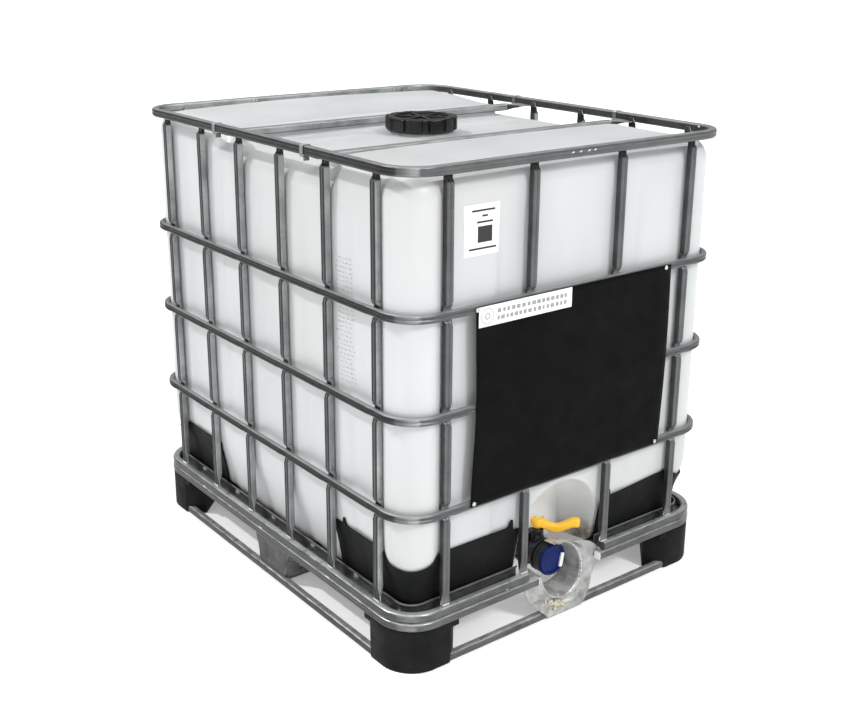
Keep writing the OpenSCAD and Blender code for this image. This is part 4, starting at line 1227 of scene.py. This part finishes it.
def outlet_cap():
    """Blue screw cap with fine grip ribs, dished face and a raised white tab."""
    low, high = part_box("outlet_cap")
    back, front, cap_r, bore = -high.y, -low.y, 0.0424, 0.034
    band_r, split = cap_r - 0.0012, front - 0.0075
    profile = [(band_r - 0.002, split), (cap_r - 0.0008, split), (cap_r, split + 0.0008)]
    profile += [(cap_r - 0.0004, front - 0.0042), (cap_r - 0.0016, front - 0.0016)]
    profile += [(cap_r - 0.0036, front - 0.0003), (cap_r - 0.0060, front)]
    profile += [(cap_r - 0.0075, front - 0.0006), (cap_r - 0.0090, front - 0.0046)]
    profile += [(r, front - 0.0050 + 0.0014 * (1 - r / 0.033)) for r in (0.032, 0.026, 0.018, 0.010, 0.0005)]

    def ribbed(angle, radius, height):
        ribs = 0.0006 * np.clip(np.cos(angle * 60) + 0.4, 0, 1)
        lies = (radius > band_r - 0.0006) & (height > back + 0.002)
        return np.where(lies, radius + ribs, radius)

    shape = Shape()
    shape.spun(profile, (0, 0, OUTLET_Z), "Y", 480, ribbed)
    grip = [(bore, back + 0.014), (bore, back + 0.0008), (bore + 0.001, back), (band_r - 0.0015, back)]
    grip += [(band_r, back + 0.0015), (band_r, back + 0.006), (band_r - 0.0016, back + 0.007)]
    grip += [(band_r - 0.0016, back + 0.009), (band_r, back + 0.010), (band_r, split - 0.0008)]
    grip += [(band_r - 0.002, split)]
    skirt = Shape()
    skirt.spun(grip, (0, 0, OUTLET_Z), "Y", 480, ribbed)
    skirt.piece("outlet_cap_grip_band", M["valve"], "valve_black", body="outlet_cap")
    inside = [(bore, back + 0.014), (bore, back + 0.0215), (0.0002, back + 0.0215)]
    shape.spun(inside, (0, 0, OUTLET_Z), "Y", 96)
    shape.piece("outlet_screw_cap", M["blue"], "cap_blue", body="outlet_cap", replaces=["outlet_cap"])
    tab = Shape()
    block = rounded_box((0, 0, 0), (0.0105, 0.0375, 0.0052), 0.0012)
    flat = np.stack([block[..., 0], -block[..., 2], block[..., 1]], axis=-1)
    lean = math.radians(11)
    tilted = np.stack([flat[..., 0] * math.cos(lean) + flat[..., 2] * math.sin(lean), flat[..., 1],
                       flat[..., 2] * math.cos(lean) - flat[..., 0] * math.sin(lean)], axis=-1)
    tab.grid(tilted + np.array([0.0295, low.y + 0.0022, OUTLET_Z - 0.009]), wrap_v=True, caps=True)
    tab.piece("outlet_cap_tab", M["tab"], "label_white", body="outlet_cap")


# ---------------------------------------------------------------- valve guard


def guard_edge(angle):
    """Distance from the funnel's middle to the guard's outer edge, in the direction of angle."""
    outline = np.array([(0, 178), (62, 172), (98, 157), (120, 140), (127, 126), (118, 86), (104, 52),
                        (76, 24), (56, 4), (0, 3)]) / 1000
    outline[:, 1] -= GUARD_Z
    outline = np.r_[outline, (outline * [-1, 1])[::-1][1:-1]]
    reach = np.zeros_like(angle)
    direction = np.column_stack([np.cos(angle), np.sin(angle)])
    for p, q in zip(outline, np.roll(outline, -1, axis=0)):
        edge = q - p
        across = direction[:, 0] * edge[1] - direction[:, 1] * edge[0]
        safe = np.where(np.abs(across) < 1e-9, 1e-9, across)
        t = (p[0] * edge[1] - p[1] * edge[0]) / safe
        u = (p[0] * direction[:, 1] - p[1] * direction[:, 0]) / safe
        hit = (t > 0) & (u >= -1e-6) & (u <= 1 + 1e-6)
        reach = np.where(hit, np.maximum(reach, t), reach)
    return reach


def upper_left(point):
    """True in the part of the guard that is left open for the valve."""
    return math.atan2(point[2] - GUARD_Z, point[0]) > math.radians(101)


def guard_ridge(angle):
    """Radius and y of the funnel's ridge, in the direction of angle."""
    return 0.0665 + 0.0025 * np.abs(np.sin(angle)), -0.5765 + 0.013 * np.sin(angle)


def wing_y(z):
    """The guard's wings at a height: behind the ring above, and out at the front in the chute below."""
    behind, ahead = -HALF_Y + 0.0235, -HALF_Y + 0.0035
    return behind + (ahead - behind) * ease((0.062 - z) / 0.045)


def valve_guard():
    """Pressed sheet: a dish whose ridge stands round the outlet, wings behind the ring and a chute below."""
    angle = np.linspace(0, 2 * math.pi, 240, endpoint=False)
    up = np.sin(angle)
    edge = guard_edge(angle)
    ridge_r, ridge_y = guard_ridge(angle)
    tail_r, tail_y, fold = 0.060, -0.522, 0.0035
    rows = []
    for t in steps(0, 1, 0.07):
        r = tail_r + (ridge_r - fold - tail_r) * t ** 1.1
        rows.append((r, tail_y + (ridge_y + fold - tail_y) * t))
    for a in np.radians((25, 50, 90, 130, 155)):
        rows.append((ridge_r - fold * math.cos(a), ridge_y + fold * (1 - math.sin(a))))
    for t in steps(0, 1, 0.05)[1:]:
        r = ridge_r + fold + (np.maximum(edge, ridge_r + 0.006) - ridge_r - fold) * t
        flat = wing_y(GUARD_Z + r * up)
        y = ridge_y + fold + (flat - ridge_y - fold) * ease(t * 2.2)
        y = y - 0.0015 * np.sin(np.clip(t * 3.0, 0, 1) * math.pi) * np.cos(angle * 5)
        rows.append((r, y))
    grid = np.array([np.column_stack([r * np.cos(angle), np.broadcast_to(y, angle.shape), GUARD_Z + r * up])
                     for r, y in rows])
    shape = Shape()
    shape.grid(grid, wrap_v=True)
    everything = shape.points()
    shape.faces = [f for f in shape.faces if not upper_left(everything[list(f)].mean(axis=0))]
    guard = shape.piece("valve_guard_sheet", M["sheet"], "pallet_steel", replaces=["valve_guard"], sharp=60)
    thicken(guard, 0.0022, offset=1.0)


def guard_lip():
    """A bright zinc bead on the ridge's edge as a painted highlight, of uneven thickness and fading out at
    both ends.
    """
    start, stop = -72, 97
    circle = np.linspace(0, 2 * math.pi, 10, endpoint=False)
    rows = []
    for a in np.radians(np.linspace(start, stop, 90)):
        share = (a - math.radians(start)) / math.radians(stop - start)
        thick = 0.0026 * math.sqrt(max(math.sin(share * math.pi), 0.02))
        thick *= 1 + 0.25 * math.sin(a * 9) * math.sin(a * 4 + 1)
        mouth, y = guard_ridge(a)
        radial = mouth + thick * np.cos(circle)
        rows.append(np.column_stack([radial * math.cos(a), y - 0.0012 + thick * np.sin(circle),
                                     GUARD_Z + radial * math.sin(a)]))
    # painted highlight: the bead's bright zinc stands in for light caught on the ridge's edge
    lip = Shape()
    lip.grid(np.array(rows), wrap_v=True, caps=True)
    lip.piece("valve_guard_highlight_lip", M["zinc"], "pallet_steel")


def guard_rust():
    """Rust blots low on the guard, each a low mound given as x, z and radius."""
    blots = ((-0.024, 0.032, 0.0115), (-0.043, 0.039, 0.0080), (-0.008, 0.025, 0.0065),
             (-0.004, 0.040, 0.0055), (-0.038, 0.024, 0.0055), (-0.058, 0.044, 0.0045),
             (-0.014, 0.047, 0.0040))
    spin = np.linspace(0, 2 * math.pi, 28, endpoint=False)
    patches = Shape()
    for k, (x, z, r) in enumerate(blots):
        blot = r * (1 + 0.25 * wander(spin, 2.0, 60 + k))
        rows = []
        for t in (0.02, 0.5, 1.0):
            height = z + blot * t * np.sin(spin) * 0.8
            y = wing_y(height) - 0.0026 - 0.0006 * (1 - t)
            rows.append(np.column_stack([x + blot * t * np.cos(spin), y, height]))
        patches.grid(np.array(rows), wrap_v=True)
    patches.piece("valve_guard_rust", M["rust"], "pallet_steel")


# ---------------------------------------------------------------- pallet: feet, legs, deck


def foot(node, sx, sy):
    """Moulded corner foot with slightly drawn-in ends and small ears under the ring."""
    top, side, reach, corner = 0.1068, 0.136, 0.178, 0.088
    arc = [(-corner - 0.003 + corner * math.cos(a), -corner - 0.003 + corner * math.sin(a))
           for a in np.radians(np.linspace(0, 90, 22))]
    tail = [(-side + 0.004, -0.003), (-side - 0.002, -0.005), (-reach + 0.003, -0.042), (-reach, -0.0465)]
    tail += [(-reach + 0.0035, -0.0505), (-0.0505, -reach + 0.0035), (-0.0465, -reach)]
    tail += [(-0.042, -reach + 0.003), (-0.005, -side - 0.002), (-0.003, -side + 0.004)]
    plan = np.array(arc + tail)
    centre = np.array([-0.080, -0.080])
    rows = []
    for z, grow in ((0.0, -0.0025), (0.0012, -0.0008), (0.004, 0.0), (0.020, 0.0), (0.050, 0.0),
                    (0.090, 0.0), (top - 0.003, 0.0), (top - 0.0008, -0.0008), (top, -0.002)):
        away = plan - centre
        length = np.linalg.norm(away, axis=1, keepdims=True)
        draw = 0.0012 * ease((0.100 - z) / 0.1)
        ends = ease((np.abs(plan[:, :1] - plan[:, 1:]) - 0.06) / 0.06)
        moved = plan + away / length * (grow - draw * ends * 0.9)
        rows.append(np.column_stack([moved, np.full(len(plan), z)]))
    shape = Shape()
    shape.grid(np.array(rows), wrap_v=True, caps=True)
    for turn in (False, True):
        ear = rounded_box((-side - 0.011, -0.0105, top - 0.0075), (0.030, 0.012, 0.0145), 0.0012)
        if turn:
            ear = np.stack([ear[..., 1], ear[..., 0], ear[..., 2]], axis=-1)
        shape.grid(ear, wrap_v=True, caps=True)
    verts = shape.points()
    verts = np.column_stack([sx * (HALF_X + verts[:, 0]), sy * (HALF_Y + verts[:, 1]), verts[:, 2]])
    flipped = [f[::-1] for f in shape.faces] if sx * sy < 0 else shape.faces
    piece(f"pallet_{node}", verts, flipped, M["black"], "black_polymer", replaces=[node])


def feet():
    """Four corner feet."""
    for sy, end in ((-1, "front"), (1, "back")):
        for sx, side in ((-1, "left"), (1, "right")):
            foot(f"foot_{end}_{side}", sx, sy)


def leg(node, turn, reach):
    """Pressed middle leg: a channel with a flared top, round corners and a pressed panel."""
    top, half_top, half_foot, sheet = 0.107, 0.083, 0.0655, 0.0025
    z = np.r_[0.0200, 0.0212, 0.024, steps(0.028, top - 0.004, 0.004), top - 0.001]
    half = half_foot + (half_top - half_foot) * ease((z - 0.030) / (top - 0.034)) ** 1.3
    half = half * (1 - 0.10 * ease((0.028 - z) / 0.010))
    flange = 0.044
    rows = []
    for h, w in zip(z, half):
        bend = 0.006
        outline = [(flange, -w), (bend, -w)]
        curve = [(bend - bend * math.sin(a), bend * (1 - math.cos(a))) for a in np.radians((30, 60, 90))]
        outline += [(x, -w + y) for x, y in curve]
        inner = steps(-w + bend, w - bend, 0.006)
        press = 0.0035 * near(inner, 0.022, 0.010) * near(h - 0.062, 0.018, 0.012)
        outline += [(p, y) for p, y in zip(press, inner)][1:-1]
        outline += [(x, w - y) for x, y in reversed(curve)]
        outline += [(bend, w), (flange, w)]
        count = 44
        line = np.array(outline)
        run = np.r_[0, np.cumsum(np.linalg.norm(np.diff(line, axis=0), axis=1))]
        at = np.linspace(0, run[-1], count)
        rows.append(np.column_stack([-reach + np.interp(at, run, line[:, 0]), np.interp(at, run, line[:, 1]),
                                     np.full(count, h)]))
    spin = np.array(Matrix.Rotation(math.radians(turn), 3, "Z"))
    shape = Shape()
    shape.grid(np.array(rows) @ spin.T)
    made = shape.piece(f"pallet_{node}", M["pallet"], "pallet_steel", replaces=[node])
    thicken(made, sheet, offset=0.0)
    beads = Shape()
    for s in (-1, 1):
        start = np.array([-reach + 0.001, s * 0.052, 0.0206]) @ spin.T
        stop = np.array([-reach + 0.001, s * 0.026, 0.0206]) @ spin.T
        bead(beads, start, stop, 0.0022, 7 + s)
    beads.piece(f"pallet_{node}_weld", M["weld"], "zinc_fixings")


def runner():
    """Tube on the ground across the skid, between the two side legs."""
    low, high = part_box("skid_runner")
    x = steps(low.x, high.x, 0.02)
    section = plain_section(0.020, 0.020, 0.006)
    path = np.column_stack([x, np.full_like(x, (low.y + high.y) / 2), np.full_like(x, 0.010)])
    path[:, 2] += 0.0003 * np.abs(wander(x, 8, 3))
    shape = swept(path, (0, 1, 0), (0, 0, 1), section)
    shape.piece("skid_cross_runner", M["pallet"], "pallet_steel", replaces=["skid_runner"])


def deck():
    """Deck sheet with pressed beads and a turned-up edge with a rolled lip, cut out at the valve."""
    low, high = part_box("deck_tray")
    rib_x, rib_y, rib_r, rib_h = HALF_X - DECK_EDGE, HALF_Y - DECK_EDGE, 0.038, high.z - low.z
    cut, reach, slot_half, slot_end = 0.132, -0.441, 0.043, -0.335
    plate = Shape()
    xs = np.unique(np.r_[steps(low.x, high.x, 0.012), -cut, cut, -slot_half, slot_half])
    ys = np.unique(np.r_[steps(low.y, high.y, 0.012), reach, slot_end])
    gx, gy = np.meshgrid(xs, ys)
    corner = RING_CORNER - 0.006
    qx, qy = np.abs(gx) - (high.x - corner), np.abs(gy) - (high.y - corner)
    over = np.sqrt(np.clip(qx, 0, None) ** 2 + np.clip(qy, 0, None) ** 2)
    pull = np.where((qx > 0) & (qy > 0) & (over > corner), corner / np.maximum(over, 1e-9), 1.0)
    px = np.where(qx > 0, np.sign(gx) * (high.x - corner + np.clip(qx, 0, None) * pull), gx)
    py = np.where(qy > 0, np.sign(gy) * (high.y - corner + np.clip(qy, 0, None) * pull), gy)
    inside = near(gx, 0.39, 0.01) * near(gy, 0.49, 0.01)
    beads_z = -0.0012 * near(((gx + 0.06) % 0.12) - 0.06, 0.014, 0.010) * inside
    gz = DECK_Z - 0.0004 + beads_z
    grid = np.stack([px, py, gz], axis=-1)
    n, m = grid.shape[:2]
    faces = []
    for i in range(n - 1):
        for j in range(m - 1):
            cx, cy = (xs[j] + xs[j + 1]) / 2, (ys[i] + ys[i + 1]) / 2
            if (abs(cx) < cut and cy < reach) or (abs(cx) < slot_half and cy < slot_end):
                continue
            faces.append((i * m + j, i * m + j + 1, (i + 1) * m + j + 1, (i + 1) * m + j))
    plate.add(grid.reshape(-1, 3), faces)
    made = plate.piece("deck_sheet", M["deck"], "pallet_steel", replaces=["deck_tray"])
    thicken(made, 0.0014, offset=-1.0)
    points, normals = ring_path(rib_x - 0.001, rib_y - 0.001, rib_r, 0.010, gap=(cut, cut))
    run = np.cumsum(np.r_[0, np.linalg.norm(np.diff(points, axis=0), axis=1)])
    up = np.array([(0.0, 0.0), (0.0004, 0.006), (0.0, 0.014), (0.0, rib_h - 0.006), (0.0008, rib_h - 0.003),
                   (0.0024, rib_h - 0.0008), (0.0044, rib_h - 0.0012), (0.0050, rib_h - 0.0032),
                   (0.0040, rib_h - 0.0050)])
    wave = 0.0010 * wander(run, 14.0, 5)
    rows = []
    for (x, y), (out_x, out_y), w in zip(points, normals, wave):
        lift = up[:, 1] / rib_h
        rows.append(np.column_stack([x + out_x * (up[:, 0] + w * lift), y + out_y * (up[:, 0] + w * lift),
                                     DECK_Z + up[:, 1] + w * 0.8 * lift]))
    edge = Shape()
    edge.grid(np.array(rows))
    rim = edge.piece("deck_turned_edge", M["deck"], "pallet_steel")
    thicken(rim, 0.0012, offset=0.0)


def deck_bolts():
    """Hex bolts with washers in the deck's turned-up edge, five along each long side."""
    bolt = Shape()
    screw_head(bolt, (0, 0, 0), "X", 0.0068, 0.005, sides=6)
    washer = [(0.0002, 0.0011), (0.0092, 0.0011), (0.0096, 0.0007), (0.0096, 0.0)]
    bolt.spun(washer, (0, 0, 0), "X", 32)
    shape = Shape()
    for side in (-1, 1):
        faces = bolt.faces if side > 0 else [f[::-1] for f in bolt.faces]
        for i in range(-2, 3):
            place = np.array([side * (HALF_X - DECK_EDGE), side * -1 * (0.030 + i * 0.1905), DECK_Z + 0.017])
            shape.add(bolt.points() * np.array([side, 1, 1]) + place, faces)
    shape.piece("deck_hex_bolts", M["zinc"], "zinc_fixings", replaces=["deck_bolts"])


def ring_plugs():
    """Plugs in the open ends of the pallet's ring."""
    shape = Shape()
    for x, s in ((-PALLET_GAP[0], 1), (PALLET_GAP[1], -1)):
        outline = plain_section(0.0215, 0.0205, 0.005)
        rows = []
        for inset, out in ((0.9, -0.004), (0.9, 0.0), (1.0, 0.0002), (1.0, 0.0014), (0.94, 0.0020)):
            rows.append(np.column_stack([np.full(len(outline), x + s * out),
                                         -HALF_Y + 0.011 + outline[:, 0] * inset,
                                         middle("pallet_ring").z + outline[:, 1] * inset]))
        shape.grid(np.array(rows), wrap_v=True, caps=True)
    shape.piece("pallet_ring_plugs", M["plug"], "bottle_polymer", replaces=["ring_plugs"])


# ---------------------------------------------------------------- corner guards


def corner_guard(node, sx, sy, sag):
    """Moulded sheet round a lower corner of the bottle: U-shaped dip at the corner, hooks near its ends."""
    front_x, side_y = -0.137, -0.282
    xs = np.unique(np.r_[steps(front_x, -CORE_X, 0.008), steps(-0.172, -0.150, 0.0016)])[::-1]
    ys = np.unique(np.r_[steps(side_y, -CORE_Y, 0.008), steps(-0.333, -0.315, 0.0016)])
    columns = [((x, -CORE_Y), (0.0, -1.0)) for x in xs]
    arc = np.radians(np.linspace(0, 90, 25)[1:-1])
    columns += [((-CORE_X, -CORE_Y), (-math.sin(a), -math.cos(a))) for a in arc]
    columns += [((-CORE_X, y), (-1.0, 0.0)) for y in ys]
    foot_z, top_z, dip_r = 0.1425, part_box(node)[1].z - 0.018, 0.062
    rows = []
    for v in steps(0, 1, 0.045):
        row = []
        for core, normal in columns:
            corner_run = (core[0] + normal[0] * 0.07 + BOTTLE_X) - (core[1] + normal[1] * 0.07 + BOTTLE_Y)
            dip = dip_r ** 2 - (corner_run * 0.72) ** 2
            top = top_z - (math.sqrt(dip) * 0.50 if dip > 0 else 0.0)
            if normal[1] < -SQUARE:
                top += 0.018 * float(near(core[0] + 0.164, 0.0025, 0.0045))
                top -= 0.012 * float(ease((core[0] + 0.160) / 0.006))
                top -= sag * float(ease((core[0] + CORE_X) / (CORE_X - 0.14)))
            if normal[0] < -SQUARE:
                top += 0.018 * float(near(core[1] + 0.324, 0.0025, 0.0045))
            z = foot_z + (top - foot_z) * v
            swell = 1.0
            if max(abs(normal[0]), abs(normal[1])) > SQUARE:
                run = abs(core[1]) - CORE_Y if abs(normal[0]) > SQUARE else abs(core[0]) - CORE_X
                swell = float(ease((run + 0.034) / 0.034))
            swell *= BOTTLE_BULGE * float(ease((z - 0.20) / 0.08))
            reach = BOTTLE_CORNER - float(wall_inset(z)) + 0.0036 + swell
            row.append((core[0] + normal[0] * reach, core[1] + normal[1] * reach, z))
        rows.append(row)
    grid = np.array(rows) * np.array([-sx, -sy, 1])
    shape = Shape()
    shape.grid(grid, flip=sx * sy < 0)
    made = shape.piece(f"bottle_{node}", M["black"], "black_polymer", replaces=[node], sharp=60)
    thicken(made, 0.0028, offset=-1.0, bevel=0.0008)


def corner_guards():
    """Four guards; the right-hand ones sag towards the middle of the end wall."""
    for sy, end in ((-1, "front"), (1, "back")):
        for sx, side in ((-1, "left"), (1, "right")):
            corner_guard(f"corner_guard_{end}_{side}", sx, sy, 0.016 if sx > 0 else 0.0)


def side_strips():
    """Thin black strips low on each long side, where the guards run on under the bottle's edge."""
    shape = Shape()
    for s in (-1, 1):
        for end in (-1, 1):
            y = steps(0.146 * end, 0.286 * end, 0.012)
            rows = []
            for z in (0.1335, 0.140, 0.148, 0.1515):
                reach = BOTTLE_X - wall_inset(z) + 0.0032
                fade = np.where(z > 0.145, 0.004 * wander(y, 30, 9), 0)
                rows.append(np.column_stack([np.full_like(y, s * reach), y, z + fade]))
            shape.grid(np.array(rows))
    made = shape.piece("bottle_guard_strips", M["black"], "black_polymer")
    thicken(made, 0.0016, offset=0.0)


# ---------------------------------------------------------------- label panel


def panel_bow(x, z, low, high):
    """Small outward bow and edge waviness of the panel."""
    u, v = (x - low.x) / (high.x - low.x), (z - low.z) / (high.z - low.z)
    return 0.0006 * np.sin(u * 9 + 1) * np.sin(v * math.pi)


def label_panel():
    """Black panel on the front with four screw heads."""
    low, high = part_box("label_plate")
    xs, zs = steps(low.x, high.x, 0.012), steps(low.z, high.z, 0.012)
    gx, gz = np.meshgrid(xs, zs)
    v = (gz - low.z) / (high.z - low.z)
    u = (gx - low.x) / (high.x - low.x)
    waist = 0.008 * np.sin(v * math.pi) ** 2
    gx = gx + waist * (1 - 2 * u) * (u < 0.5) + 0.006 * np.sin(v * math.pi) * u ** 8 + 0.007 * v
    gy = np.full_like(gx, low.y + 0.0002) + panel_bow(gx, gz, low, high)
    shape = Shape()
    shape.grid(np.stack([gx, gy, gz], axis=-1))
    made = shape.piece("label_panel", M["plate"], "plate_black", replaces=["label_plate"])
    thicken(made, 0.0012, offset=-1.0)
    heads = Shape()
    for x in (low.x + 0.010, high.x - 0.010):
        for z in (RING_Z[0] + 0.004, RING_Z[2]):
            head = Shape()
            screw_head(head, (x, 0, z), "Y", 0.0052, 0.0016)
            heads.add(head.points() + np.array([0, low.y + 0.0004, 0]), head.faces)
    heads.piece("label_panel_screws", M["zinc"], "zinc_fixings", replaces=["plate_screws"])
    panel_label(low, high)


def flat_patch(shape, x0, x1, z0, z1, y):
    """A flat strip of film in front of the panel."""
    shape.grid(np.array([[(x, y, z) for x in steps(x0, x1, 0.02)] for z in (z0, z1)]))


def panel_label(low, high):
    """A plain white label with a ring mark and rows of short bars."""
    paper, ink = Shape(), Shape()
    y = low.y - 0.0002
    x0, x1, z0, z1 = low.x + 0.013, -0.027, high.z - 0.047, high.z - 0.001
    flat_patch(paper, x0, x1, z0, z1, y)
    centre = np.array([x0 + 0.024, (z0 + z1) / 2])
    spin = np.linspace(0, 2 * math.pi, 48, endpoint=False)
    for r0, r1 in ((0.0165, 0.0180), (0.0050, 0.0075)):
        rows = [np.column_stack([centre[0] + r * np.cos(spin), np.full(48, y - 0.0002),
                                 centre[1] + r * np.sin(spin)]) for r in (r0, r1)]
        ink.grid(np.array(rows), wrap_v=True)
    local = np.random.default_rng(3)
    for z in (z0 + 0.010, z0 + 0.026):
        x = x0 + 0.052
        while x < x1 - 0.014:
            width = float(local.uniform(0.006, 0.012))
            flat_patch(ink, x, x + width, z, z + 0.009, y - 0.0002)
            x += width + float(local.uniform(0.003, 0.006))
    paper.piece("panel_label", M["paper"], "label_white")
    ink.piece("panel_label_print", M["faint_ink"], "label_white")


# ---------------------------------------------------------------- stage


def stage():
    """Pale floor and soft studio lights."""
    mesh = bpy.data.meshes.new("studio_floor")
    reach = 400.0
    corners = [(x * reach, y * reach, 0) for x, y in ((-1, -1), (1, -1), (1, 1), (-1, 1))]
    mesh.from_pydata(corners, [], [(0, 1, 2, 3)])
    floor = bpy.data.objects.new("studio_floor", mesh)
    bpy.context.scene.collection.objects.link(floor)
    look = Look("pale_floor", 0.9)
    look.colour(look.ramp(look.noise(0.6, 2.0), (0.3, (0.86, 0.86, 0.86)), (0.7, (0.88, 0.88, 0.88))))
    look.shader.inputs["Emission Color"].default_value = (1.0, 1.0, 1.0, 1.0)
    look.shader.inputs["Emission Strength"].default_value = FLOOR_GLOW
    mesh.materials.append(look.material)

    world = bpy.data.worlds.new("studio")
    world.use_nodes = True
    world.node_tree.nodes["Background"].inputs["Color"].default_value = (1.0, 1.0, 1.0, 1)
    world.node_tree.nodes["Background"].inputs["Strength"].default_value = AMBIENT
    bpy.context.scene.world = world
    bpy.context.scene.view_settings.view_transform = "Standard"

    def sun(name, azimuth, elevation, spread, strength):
        a, e = math.radians(azimuth), math.radians(elevation)
        away = Vector((math.sin(a) * math.cos(e), -math.cos(a) * math.cos(e), math.sin(e)))
        data = bpy.data.lights.new(name, "SUN")
        data.energy, data.angle = strength, math.radians(spread)
        lamp = bpy.data.objects.new(name, data)
        lamp.location = 6 * away
        lamp.rotation_mode = "QUATERNION"
        lamp.rotation_quaternion = (-away).to_track_quat("-Z", "Y")
        bpy.context.scene.collection.objects.link(lamp)

    sun("side", -133, 46, 2, SIDE)
    sun("front", 8, 42, 12, FRONT)
    sun("fill", -45, 35, 70, FILL)
    sun("top", 0, 84, 90, TOP)


def camera():
    """Camera in front of the container's left corner, a little above its top."""
    azimuth, tilt, roll = (math.radians(turn) for turn in CAMERA_TURN)
    ahead = math.cos(tilt)
    forward = Vector((math.sin(azimuth) * ahead, math.cos(azimuth) * ahead, -math.sin(tilt)))
    level = Vector((math.cos(azimuth), -math.sin(azimuth), 0))
    above = level.cross(forward)
    right = math.cos(roll) * level + math.sin(roll) * above
    up = -math.sin(roll) * level + math.cos(roll) * above
    data = bpy.data.cameras.new("camera")
    data.sensor_width = 36.0
    data.lens = CAMERA_LENS
    data.shift_x, data.shift_y = CAMERA_SHIFT
    data.clip_end = 2000.0
    cam = bpy.data.objects.new("camera", data)
    basis = Matrix((right, up, -forward)).transposed().to_4x4()
    basis.translation = Vector(CAMERA_PLACE)
    cam.matrix_world = basis
    bpy.context.scene.collection.objects.link(cam)
    bpy.context.scene.camera = cam


rings()
uprights()
welds()
crossbar("crossbar_front", -0.022)
crossbar("crossbar_rear", -0.038)
clips()
bottle()
side_marks()
sticker()
lid()
ring_seal("lid_gasket", "lid_seal", "lid_carrier", "Z")
valve_nut()
ring_seal("valve_gasket", "valve_seal", "container", "Y")
valve_body()
valve_inside()
handle()
handle_screw()
outlet_cap()
ring_seal("outlet_cap_gasket", "outlet_cap_seal", "outlet_cap_carrier", "Y")
valve_guard()
guard_lip()
guard_rust()
feet()
leg("leg_left", 0, HALF_X - LEG_INSET)
leg("leg_right", 180, HALF_X - LEG_INSET)
leg("leg_back", -90, HALF_Y - LEG_INSET)
runner()
deck()
deck_bolts()
ring_plugs()
corner_guards()
side_strips()
label_panel()
stage()
camera()
